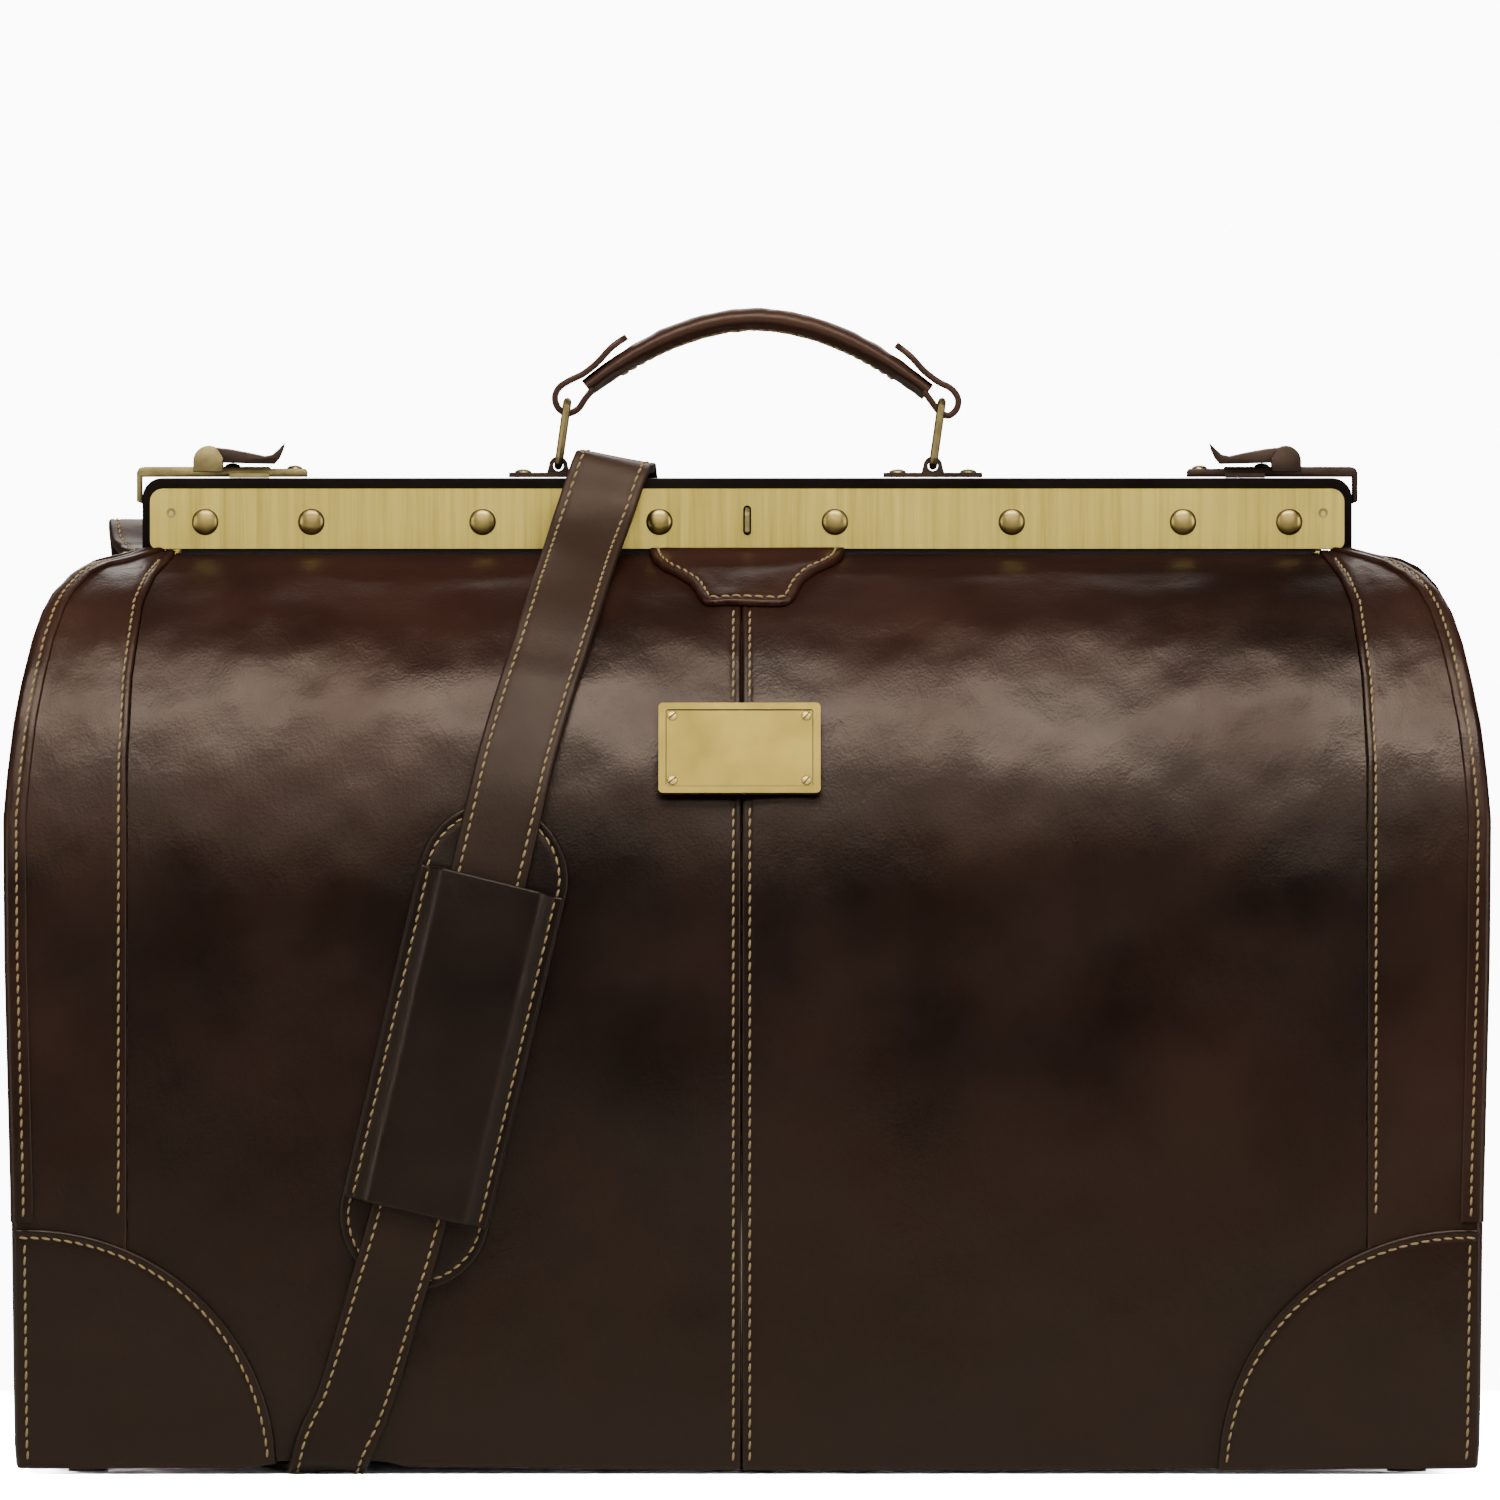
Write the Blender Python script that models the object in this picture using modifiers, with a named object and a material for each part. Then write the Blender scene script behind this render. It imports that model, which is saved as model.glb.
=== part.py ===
"""Doctor bag: a large gladstone travel bag with a two-jaw hinged frame.

Metres. X runs to the right along the frame, the front faces -Y, Z is up.
The feet stand on z = 0 and the frame's closing line is the plane y = 0.
"""

import math

import bmesh
import bpy
import numpy as np
from mathutils import Matrix, Vector

MM = 0.001

# Leather body: the wall's half depth at each height, and its round shoulder
BASE_Z = 4.5 * MM
WALL_Z = (4.5 * MM, 20 * MM, 50 * MM, 100 * MM, 150 * MM, 190 * MM)
WALL_Y = (120.0 * MM, 123.2 * MM, 125.5 * MM, 127.4 * MM, 128.0 * MM, 127.2 * MM)
SHOULDER_Z = 190 * MM
SHOULDER_RISE = 132 * MM
MOUTH_Y = 18 * MM
MOUTH_Z = SHOULDER_Z + SHOULDER_RISE

# Half width of the body at each height
WIDTH_Z = (0.0, 0.012, 0.100, 0.180, 0.230, 0.2455, 0.263, 0.277)
WIDTH_Z += (0.2915, 0.302, 0.308, 0.3137, 0.3176, 0.320, 0.322)
WIDTH_X = (0.2565, 0.2575, 0.2585, 0.2605, 0.2610, 0.2597, 0.2576, 0.2550)
WIDTH_X += (0.2516, 0.2480, 0.2445, 0.2390, 0.2320, 0.2215, 0.2140)

# Inner edge of the side bands at each height
BAND_Z = (0.0, 0.250, 0.280, 0.305, 0.314, 0.320, 0.322)
BAND_X = (0.2180, 0.2180, 0.2165, 0.2130, 0.2090, 0.2040, 0.2025)

LEATHER = 2.0 * MM
SEAM_GAP = 0.4 * MM
PATCH_RISE = 86 * MM
PATCH_RUN = 88 * MM

# Frame
HINGE_Z = 245 * MM
JAW_HALF_WIDTH = 213.7 * MM
JAW_DEPTH = 16.2 * MM
JAW_GAP = 0.3 * MM
JAW_BOTTOM = 323.7 * MM
JAW_TOP = 348.7 * MM
FACING_HALF_WIDTH = 211 * MM
FACING_Z = (324.0 * MM, 345.2 * MM)
FACING_THICKNESS = 1.6 * MM
RIVET_X = (31.0 * MM, 93.5 * MM, 154.0 * MM, 191.5 * MM)
RIVET_Z = 333.5 * MM
RIVET_HOLE_R = 2.0 * MM
LOCK_Z = 334 * MM
ARM_WIDTH = 12.2 * MM
FRONT_ARM_X = (203.5 * MM, 205.5 * MM)
REAR_ARM_X = (206.2 * MM, 208.2 * MM)
PIN_R = 2.5 * MM
EYE_R = 2.7 * MM

# Handle
HANDLE_Y = 8.5 * MM
RING_LEFT = Vector((-66.8 * MM, HANDLE_Y, 353.0 * MM))
RING_SPAN = 132.5 * MM
RING_RISE = Vector((3.2 * MM, 0.0, 22.7 * MM))
RING_HALF_Y = 8.8 * MM
WIRE_R = 1.5 * MM
GRIP_TOP = 409 * MM

# Latches
LATCH_X = 191 * MM
LATCH_Z = 355 * MM
LATCH_Y = (-14.5 * MM, 16.0 * MM)

# Shoulder strap
STRAP_WIDTH = 27 * MM
STRAP_THICKNESS = 3.4 * MM
STRAP_FRONT_Z = (0.0035, 0.0308, 0.0658, 0.090, 0.2173, 0.2586, 0.3208, 0.352)
STRAP_FRONT_X = (-0.1466, -0.1362, -0.1262, -0.1188, -0.0890, -0.0791, -0.0588, -0.0477)
D_RING_X = 199.5 * MM
D_RING_EYE = (22.2 * MM, 327.5 * MM)
D_RING_DEPTH = 20 * MM
HOOK_TURN = math.radians(17)
HOOK_DROP = math.radians(-15)

LEATHER_BROWN = ("brown_leather", (0.055, 0.027, 0.016), 0.0, 0.30)
STRAP_BROWN = ("strap_leather", (0.090, 0.045, 0.028), 0.0, 0.42)
BOARD_GREY = ("fibre_board", (0.16, 0.13, 0.10), 0.0, 0.85)
LINING_TAN = ("lining_cloth", (0.32, 0.24, 0.15), 0.0, 0.9)
BRASS_PALE = ("satin_brass", (0.62, 0.55, 0.30), 1.0, 0.35)
BRASS_AGED = ("aged_brass", (0.35, 0.29, 0.16), 1.0, 0.40)
FRAME_BLACK = ("covered_steel", (0.012, 0.011, 0.010), 0.0, 0.35)
STEEL_DARK = ("dark_steel", (0.10, 0.095, 0.085), 1.0, 0.45)


# ---------------------------------------------------------------- helpers


def start():
    """Empty the file and make the collections for the parts and the cutters."""
    for item in list(bpy.data.objects):
        bpy.data.objects.remove(item)
    for name in ("doctor_bag", "cutters"):
        bpy.context.scene.collection.children.link(bpy.data.collections.new(name))


def material(style):
    """The named material, made the first time it is asked for."""
    name, colour, metallic, roughness = style
    found = bpy.data.materials.get(name)
    if found:
        return found
    made = bpy.data.materials.new(name)
    made.use_nodes = True
    shader = made.node_tree.nodes["Principled BSDF"]
    shader.inputs["Base Color"].default_value = (*colour, 1)
    shader.inputs["Metallic"].default_value = metallic
    shader.inputs["Roughness"].default_value = roughness
    made.diffuse_color = (*colour, 1)
    return made


def put(name, mesh, style):
    """A part in the bag's collection. Each part has its own material."""
    mesh.materials.clear()
    mesh.materials.append(material((name, *style[1:])))
    item = bpy.data.objects.new(name, mesh)
    bpy.data.collections["doctor_bag"].objects.link(item)
    return item


def mesh_of(bm):
    """The finished mesh of a bmesh, with its faces turned outwards."""
    bmesh.ops.remove_doubles(bm, verts=bm.verts, dist=1e-6)
    bmesh.ops.recalc_face_normals(bm, faces=bm.faces)
    mesh = bpy.data.meshes.new("part")
    bm.to_mesh(mesh)
    bm.free()
    return mesh


def sheet(name, columns, rows, place, thickness, style, outwards=False):
    """A flexible panel: a grid laid on place(u, v), given its thickness inwards."""
    bm = bmesh.new()
    bmesh.ops.create_grid(bm, x_segments=columns, y_segments=rows, size=0.5)
    for vert in bm.verts:
        vert.co = place(vert.co.x + 0.5, vert.co.y + 0.5)
    mesh = bpy.data.meshes.new("part")
    bm.to_mesh(mesh)
    bm.free()
    item = put(name, mesh, style)
    thicken(item, thickness, outwards)
    return item


def thicken(item, thickness, outwards=False):
    """Give a sheet its thickness."""
    solid = item.modifiers.new("thickness", "SOLIDIFY")
    solid.thickness = thickness
    solid.offset = 1 if outwards else -1
    solid.use_even_offset = True
    return solid


def box(low, high):
    """A box between two corners, as a bmesh."""
    bm = bmesh.new()
    bmesh.ops.create_cube(bm, size=1.0)
    low, high = Vector(low), Vector(high)
    for vert in bm.verts:
        vert.co = Vector(
            (low[i] + (vert.co[i] + 0.5) * (high[i] - low[i]) for i in range(3))
        )
    return bm


def turn_to(axis):
    """The turn that takes +Z to a direction."""
    return Vector(axis).to_track_quat("Z", "Y").to_matrix().to_4x4()


def rod(start_at, end_at, radius, sides=20):
    """A round bar between two points, as a bmesh."""
    a, b = Vector(start_at), Vector(end_at)
    bm = bmesh.new()
    bmesh.ops.create_cone(
        bm,
        cap_ends=True,
        segments=sides,
        radius1=radius,
        radius2=radius,
        depth=(b - a).length,
        matrix=Matrix.Translation((a + b) / 2) @ turn_to(b - a),
    )
    return bm


def wire(points, radius, closed=False, sides=4):
    """A round wire along a line of points, as a mesh."""
    curve = bpy.data.curves.new("wire", "CURVE")
    curve.dimensions = "3D"
    curve.bevel_depth = radius
    curve.bevel_resolution = sides // 2
    curve.use_fill_caps = True
    line = curve.splines.new("POLY")
    line.points.add(len(points) - 1)
    for point, co in zip(line.points, points):
        point.co = (*co, 1)
    line.use_cyclic_u = closed
    return curve_mesh(curve)


def curve_mesh(curve):
    """Turn a curve into a closed mesh."""
    item = bpy.data.objects.new("curve", curve)
    mesh = bpy.data.meshes.new_from_object(item)
    bpy.data.objects.remove(item)
    bpy.data.curves.remove(curve)
    bm = bmesh.new()
    bm.from_mesh(mesh)
    bpy.data.meshes.remove(mesh)
    return mesh_of(bm)


def plate(outline, holes, thickness):
    """A flat plate in its own XY plane, its mid-plane on z = 0, with holes."""
    curve = bpy.data.curves.new("plate", "CURVE")
    curve.dimensions = "2D"
    curve.fill_mode = "BOTH"
    curve.extrude = thickness / 2
    for ring in (outline, *holes):
        line = curve.splines.new("POLY")
        line.points.add(len(ring) - 1)
        for point, (x, y) in zip(line.points, ring):
            point.co = (x, y, 0, 1)
        line.use_cyclic_u = True
    return curve_mesh(curve)


def circle(x, y, radius, sides=12):
    """Points round a circle."""
    turns = [2 * math.pi * i / sides for i in range(sides)]
    return [(x + radius * math.cos(t), y + radius * math.sin(t)) for t in turns]


def stadium(x, y, half_width, half_height, sides=8):
    """Points round an upright slot with round ends."""
    r = half_width
    top = [math.pi * i / sides for i in range(sides + 1)]
    ring = [(x + r * math.cos(t), y + half_height - r + r * math.sin(t)) for t in top]
    ring += [(x - r * math.cos(t), y - half_height + r - r * math.sin(t)) for t in top]
    return ring


def round_box(x0, x1, y0, y1, radii, steps=5):
    """Points round a rectangle; radii from the low-x low-y corner, anticlockwise."""
    corners = ((x0, y0, 1, 1), (x1, y0, -1, 1), (x1, y1, -1, -1), (x0, y1, 1, -1))
    ring = []
    for i, ((x, y, sx, sy), r) in enumerate(zip(corners, radii)):
        cx, cy = x + sx * r, y + sy * r
        for k in range(steps + 1):
            t = math.pi + math.pi / 2 * (i + k / steps)
            ring.append((cx + r * math.cos(t), cy + r * math.sin(t)))
    return ring


def upright(mesh, y):
    """Stand a plate drawn in XY up in XZ, its mid-plane at the given y."""
    mesh.transform(Matrix.Translation((0, y, 0)) @ Matrix.Rotation(math.pi / 2, 4, "X"))
    return mesh


def sideways(mesh, x):
    """Stand a plate drawn as (y, z) up in the YZ plane, its mid-plane at x."""
    flip = Matrix(((0, 0, 1, x), (1, 0, 0, 0), (0, 1, 0, 0), (0, 0, 0, 1)))
    mesh.transform(flip)
    return mesh


def joined(name, base, tools, style):
    """A part with other solids added to it or cut from it."""
    item = put(name, base, style)
    for i, (tool, kind) in enumerate(tools):
        helper = bpy.data.objects.new(f"{name}_cutter_{i + 1}", tool)
        bpy.data.collections["cutters"].objects.link(helper)
        helper.hide_render = True
        helper.display_type = "WIRE"
        step = item.modifiers.new(f"{kind.lower()}_{i + 1}", "BOOLEAN")
        step.operation = kind
        step.solver = "EXACT"
        step.object = helper
    return item


def smooth(t):
    """Ease from 0 to 1."""
    t = min(max(t, 0.0), 1.0)
    return t * t * (3 - 2 * t)


# ------------------------------------------------------------ body surface


def wall_line():
    """The wall's section: its length so far, y, z and outward normal at each point."""
    z_low = np.linspace(BASE_Z, SHOULDER_Z, 40)
    y_low = np.interp(z_low, WALL_Z, WALL_Y)
    turn = np.radians(np.linspace(0, 90, 61))[1:]
    y_top = MOUTH_Y + (WALL_Y[-1] - MOUTH_Y) * np.cos(turn)
    z_top = SHOULDER_Z + SHOULDER_RISE * np.sin(turn)
    y = np.r_[y_low, y_top]
    z = np.r_[z_low, z_top]
    length = np.r_[0, np.cumsum(np.hypot(np.diff(y), np.diff(z)))]
    ty, tz = np.gradient(y, length), np.gradient(z, length)
    size = np.hypot(ty, tz)
    return length, y, z, tz / size, -ty / size


WALL = wall_line()


def wall_at(z, rise=0.0):
    """The wall's half depth and height where its face is at z, lifted off by rise."""
    s = np.interp(z, WALL[2], WALL[0])
    y, height, ny, nz = (float(np.interp(s, WALL[0], w)) for w in WALL[1:])
    return y + rise * ny, height + rise * nz


def height_at(share, low, high):
    """The height a share of the way along the wall between two heights."""
    s0, s1 = np.interp((low, high), WALL[2], WALL[0])
    return float(np.interp(s0 + share * (s1 - s0), WALL[0], WALL[2]))


def half_width(z):
    """Half the body's width at a height."""
    return float(np.interp(z, WIDTH_Z, WIDTH_X))


def band_edge(z):
    """The inner edge of a side band at a height."""
    return float(np.interp(z, BAND_Z, BAND_X))


def wall_panel(name, face, x_low, x_high, z_low, z_high, rise, size, layout, style):
    """A panel on the front (face 1) or the back (face -1); x limits follow height."""

    def place(u, v):
        z = height_at(v, z_low, z_high)
        y, height = wall_at(z, rise)
        x = x_low(z) + u * (x_high(z) - x_low(z))
        return Vector((face * x, -face * y, height))

    return sheet(name, *layout, place, size, style)


# ------------------------------------------------------------ leather body


def build_panels():
    """Front panels either side of the centre seam, and the one-piece back."""
    layout = (1, 24)

    def left_edge(z):
        return -band_edge(z) + SEAM_GAP

    def right_edge(z):
        return band_edge(z) - SEAM_GAP

    def seam_left(z):
        return -0.2 * MM - 2.0 * MM

    def seam_right(z):
        return 0.2 * MM - 2.0 * MM

    limits = (BASE_Z, MOUTH_Z, 0.0, LEATHER, layout, LEATHER_BROWN)
    wall_panel("front_panel_left", 1, left_edge, seam_left, *limits)
    wall_panel("front_panel_right", 1, seam_right, right_edge, *limits)
    wall_panel("back_panel", -1, left_edge, right_edge, *limits)


def build_bands():
    """Raised side bands that run from the base up to the frame."""
    for face, end in ((1, "front"), (-1, "rear")):
        for side, hand in ((-1, "left"), (1, "right")):
            turned = side * face

            def inner(z, turned=turned):
                return turned * band_edge(z)

            def outer(z, turned=turned):
                return turned * half_width(z)

            low, high = (inner, outer) if turned > 0 else (outer, inner)
            name = f"side_band_{end}_{hand}"
            limits = (BASE_Z, MOUTH_Z, 1.2 * MM, 3.2 * MM, (1, 24), LEATHER_BROWN)
            wall_panel(name, face, low, high, *limits)


def patch_edge(z):
    """How far a corner patch reaches in from the side at a height."""
    share = min(z / PATCH_RISE, 1.0)
    return 0.2533 - PATCH_RUN * math.sqrt(max(0.0, 1 - share * share))


def build_patches():
    """Quarter-round patches over the four lower corners."""
    for face, end in ((1, "front"), (-1, "rear")):
        for side, hand in ((-1, "left"), (1, "right")):
            turned = side * face

            def inner(z, turned=turned):
                return turned * patch_edge(z)

            def outer(z, turned=turned):
                return turned * (half_width(z) - 0.5 * MM)

            low, high = (inner, outer) if turned > 0 else (outer, inner)
            name = f"corner_patch_{end}_{hand}"
            top = PATCH_RISE - 0.4 * MM
            limits = (BASE_Z, top, 3.2 * MM, 1.7 * MM, (4, 10), LEATHER_BROWN)
            wall_panel(name, face, low, high, *limits)


def gusset_x(y, reach, z):
    """Half width of the gusset's outer face: pinched in at the hinge, flat below."""
    out = half_width(z) - 1.5 * MM
    pinch = smooth((z - 0.150) / (HINGE_Z - 0.150))
    share = 0.5 + 0.5 * math.cos(math.pi * min(abs(y) / reach, 1.0))
    return out - (out - 0.2117) * pinch * share


def build_gussets():
    """Folding end walls, slit above the hinge so that each half follows its jaw."""
    for side, hand in ((-1, "left"), (1, "right")):
        bm = bmesh.new()
        rows, columns = 26, 12
        bmesh.ops.create_grid(bm, x_segments=columns, y_segments=rows, size=0.5)
        heights = {}
        for vert in bm.verts:
            v = round(vert.co.y + 0.5, 6)
            heights[v] = height_at(v, BASE_Z + 3 * MM, MOUTH_Z)
        middle = [e for e in bm.edges if all(abs(v.co.x) < 1e-6 for v in e.verts)]
        slit = [
            e
            for e in middle
            if min(heights[round(v.co.y + 0.5, 6)] for v in e.verts) > HINGE_Z + 6 * MM
        ]
        bmesh.ops.split_edges(bm, edges=slit)
        places = {vert: gusset_place(vert, heights, side) for vert in bm.verts}
        for vert, place in places.items():
            vert.co = place
        mesh = bpy.data.meshes.new("part")
        bm.to_mesh(mesh)
        bm.free()
        thicken(put(f"gusset_{hand}", mesh, LEATHER_BROWN), LEATHER)


def gusset_place(vert, heights, side):
    """Where a point of the gusset's flat grid goes; the slit's lips part a little."""
    z = heights[round(vert.co.y + 0.5, 6)]
    reach, height = wall_at(z, -2.4 * MM)
    y = 2 * vert.co.x * reach
    if abs(vert.co.x) < 1e-6 and z > HINGE_Z + 12 * MM:
        middle = sum(f.calc_center_median().x for f in vert.link_faces)
        y = math.copysign(0.4 * MM, middle)
    return Vector((side * gusset_x(y, reach, z), side * y, height))


def build_base():
    """Leather base, the board inside it and the four metal feet."""
    low, high = 4.2 * MM, 6.7 * MM
    base = mesh_of(box((-0.2515, -0.1170, low), (0.2515, 0.1170, high)))
    put("base_panel", base, LEATHER_BROWN)
    board = mesh_of(box((-0.2490, -0.1135, 7.0 * MM), (0.2490, 0.1135, 9.5 * MM)))
    put("base_board", board, BOARD_GREY)
    for x, hand in ((-0.232, "left"), (0.232, "right")):
        for y, end in ((-0.095, "front"), (0.095, "rear")):
            foot = mesh_of(rod((x, y, 0), (x, y, 3.9 * MM), 7 * MM, 24))
            put(f"foot_{end}_{hand}", foot, BRASS_AGED)


def build_boards():
    """Fibre boards that keep the lower walls straight."""
    low, high = 11 * MM, 188 * MM

    def reach(z):
        return half_width(z) - 8 * MM

    for face, end in ((1, "front"), (-1, "back")):
        limits = (low, high, -2.6 * MM, 1.8 * MM, (1, 12), BOARD_GREY)
        wall_panel(f"{end}_board", face, lambda z: -reach(z), reach, *limits)
    for side, hand in ((-1, "left"), (1, "right")):

        def place(u, v, side=side):
            z = low + v * (146 * MM - low)
            y = (2 * u - 1) * (wall_at(z)[0] - 5.2 * MM)
            return Vector((side * (half_width(z) - 4.0 * MM), side * y, z))

        sheet(f"end_board_{hand}", 1, 10, place, 1.8 * MM, BOARD_GREY)


def build_lining():
    """Cloth lining: one length down the front, over the base board, up the back."""
    rise = -5.2 * MM

    def place(u, v):
        share = abs(2 * v - 1)
        face = 1 if v < 0.5 else -1
        if share < 0.22:
            y = (0.1125 * share / 0.22) * face
            z, width = 10.9 * MM, 0.2480
        else:
            z = height_at((share - 0.22) / 0.78, 14 * MM, MOUTH_Z)
            width = half_width(z) - 7.4 * MM
            y, z = wall_at(z, rise)
            y = y * face
        return Vector(((1 - 2 * u) * width, -y, z))

    sheet("lining", 1, 54, place, 0.6 * MM, LINING_TAN)


def build_tab():
    """Shaped leather tab stitched down under the middle of the front jaw."""
    shape_z = (0.3040, 0.3048, 0.3068, 0.3110, 0.3150, 0.3190, 0.3222)
    shape_x = (0.0125, 0.0145, 0.0165, 0.0195, 0.0260, 0.0330, 0.0345)

    def edge(z):
        return float(np.interp(z, shape_z, shape_x))

    layout = (2, 12)
    limits = (0.3040, 0.32195, 1.9 * MM, 1.4 * MM, layout, LEATHER_BROWN)
    wall_panel("front_tab", 1, lambda z: -edge(z), edge, *limits)


def build_name_plate():
    """Blank brass plate with a raised border, lying on the centre seam."""
    y, z = wall_at(0.2537, 0.0)
    lean = math.atan2(wall_at(0.2537, 1.0)[1] - z, wall_at(0.2537, 1.0)[0] - y)
    frame = round_box(-28.5 * MM, 28.5 * MM, -17.3 * MM, 17.3 * MM, [1.5 * MM] * 4, 3)
    inner = round_box(-26.0 * MM, 26.0 * MM, -14.8 * MM, 14.8 * MM, [1.0 * MM] * 4, 3)
    base = plate(frame, (), 1.4 * MM)
    recess = plate(inner, (), 0.8 * MM)
    recess.transform(Matrix.Translation((0, 0, 0.7 * MM)))
    item = joined("name_plate", base, ((recess, "DIFFERENCE"),), BRASS_PALE)
    lift = 2.6 * MM
    where = Matrix.Translation(
        (-2.7 * MM, -y - lift * math.cos(lean), z + lift * math.sin(lean))
    ) @ Matrix.Rotation(math.pi / 2 - lean, 4, "X")
    item.data.transform(where)
    recess.transform(where)


# ------------------------------------------------------------------- frame


def jaw_outline():
    """The jaw bar from the front: a long bar with round upper corners."""
    w = JAW_HALF_WIDTH
    radii = (1.0 * MM, 1.0 * MM, 6.5 * MM, 6.5 * MM)
    return round_box(-w, w, JAW_BOTTOM, JAW_TOP, radii)


def facing_outline():
    """The brass facing from the front, with small round lower corners."""
    w = FACING_HALF_WIDTH
    radii = (2.5 * MM, 2.5 * MM, 4.5 * MM, 4.5 * MM)
    return round_box(-w, w, *FACING_Z, radii)


def rivet_holes():
    """The eight rivet holes through a facing and its jaw."""
    places = [side * x for x in RIVET_X for side in (-1, 1)]
    return [circle(x, RIVET_Z, RIVET_HOLE_R) for x in places]


def arm_mesh(face, layer):
    """A jaw arm: a flat bar from under the jaw down to an eye on the hinge."""
    x0, x1 = layer
    r = 6.5 * MM
    eye = [math.radians(t) for t in range(180, 361, 20)]
    low = [(r * math.cos(t), HINGE_Z + r * math.sin(t)) for t in eye]
    near, far = 0.5 * MM, ARM_WIDTH + 0.5 * MM
    high = [(-near, JAW_BOTTOM - 0.3 * MM), (-far, JAW_BOTTOM - 0.3 * MM)]
    bend = [(r, HINGE_Z + 2 * MM), (-near, HINGE_Z + 22 * MM)]
    outline = low + bend + high + [(-far, HINGE_Z + 26 * MM), (-r, HINGE_Z + 2 * MM)]
    ring = [(face * y, z) for y, z in outline]
    hole = circle(0, HINGE_Z, EYE_R, 24)
    return sideways(plate(ring, (hole,), x1 - x0), (x0 + x1) / 2)


def build_jaw(face, end):
    """One jaw: the leather-covered bar, its two arms and its brass facing."""
    y = -face * (JAW_GAP + JAW_DEPTH / 2)
    slot = [stadium(0, LOCK_Z, 1.4 * MM, 5.3 * MM)] if face > 0 else []
    bar = upright(plate(jaw_outline(), rivet_holes() + slot, JAW_DEPTH), y)
    put(f"{end}_jaw_bar", bar, FRAME_BLACK)
    y = -face * (JAW_GAP + JAW_DEPTH + 0.3 * MM + FACING_THICKNESS / 2)
    facing = plate(facing_outline(), rivet_holes() + slot, FACING_THICKNESS)
    put(f"{end}_facing", upright(facing, y), BRASS_PALE)
    layer = FRONT_ARM_X if face > 0 else REAR_ARM_X
    for side, hand in ((-1, "left"), (1, "right")):
        mesh = arm_mesh(face, [side * x for x in layer][::side])
        put(f"{end}_arm_{hand}", mesh, STEEL_DARK)


def build_pins():
    """Headed pins on which both jaws turn."""
    for side, hand in ((-1, "left"), (1, "right")):
        x = [side * v * MM for v in (199.6, 202.9, 209.0)]
        shank = rod((x[0] + side * 1 * MM, 0, HINGE_Z), (x[2], 0, HINGE_Z), PIN_R, 24)
        head = mesh_of(rod((x[0], 0, HINGE_Z), (x[1], 0, HINGE_Z), 5 * MM, 24))
        mesh = mesh_of(shank)
        joined(f"hinge_pin_{hand}", head, ((mesh, "UNION"),), STEEL_DARK)


def build_lock_staple():
    """Flat tongue through the facing's slot, with an eye for a padlock."""
    low, high = LOCK_Z - 4.6 * MM, LOCK_Z + 4.6 * MM
    radii = [0.8 * MM, 0.8 * MM, 0.8 * MM, 3.0 * MM]
    outline = round_box(-23.5 * MM, -7 * MM, low, high, radii, 3)
    hole = circle(-20.8 * MM, LOCK_Z, 1.3 * MM)
    mesh = sideways(plate(outline, (hole,), 1.6 * MM), 0.0)
    put("lock_staple", mesh, BRASS_AGED)


# ----------------------------------------------------------------- latches


def latch_box(inward, x0, x1, y0, y1, z0, z1):
    """A box in a latch's frame: x towards the bag's middle, from its knuckle."""
    xs = sorted((-inward * LATCH_X + inward * x0, -inward * LATCH_X + inward * x1))
    return mesh_of(box((xs[0], y0, LATCH_Z + z0), (xs[1], y1, LATCH_Z + z1)))


def latch_plate(inward, outline, holes, y0, y1):
    """A plate in a latch's frame, drawn as (x, z) from the knuckle."""

    def seen(ring):
        return [(inward * (x - LATCH_X), LATCH_Z + z) for x, z in ring]

    mesh = plate(seen(outline), [seen(h) for h in holes], y1 - y0)
    return upright(mesh, (y0 + y1) / 2)


def knuckle_outline():
    """The latch's knuckle: a block with a round top."""
    top = [math.radians(t) for t in range(0, 181, 20)]
    ring = [(5 * MM * math.cos(t), 5 * MM * math.sin(t)) for t in top]
    return ring + [(-5 * MM, -4.6 * MM), (5 * MM, -4.6 * MM)]


def cheek_outline():
    """The lever's side: an eye round the pin and an arm towards the middle."""
    eye = [math.radians(t) for t in range(60, 271, 15)]
    ring = [(3.9 * MM * math.cos(t), 3.9 * MM * math.sin(t)) for t in eye]
    return ring + [(9 * MM, -3.8 * MM), (9 * MM, -0.6 * MM)]


def blade_outline():
    """The lever's blade: slopes down, then curls up into a pointed finger lift."""
    points = ((7.2, -3.8), (19.5, -3.8), (23.0, -2.6), (26.0, 0.8), (28.0, 6.0))
    points += ((24.4, 1.8), (21.6, -0.8), (18.5, -1.4), (12.0, 0.9), (7.2, 1.8))
    return [(x * MM, z * MM) for x, z in points]


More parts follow.
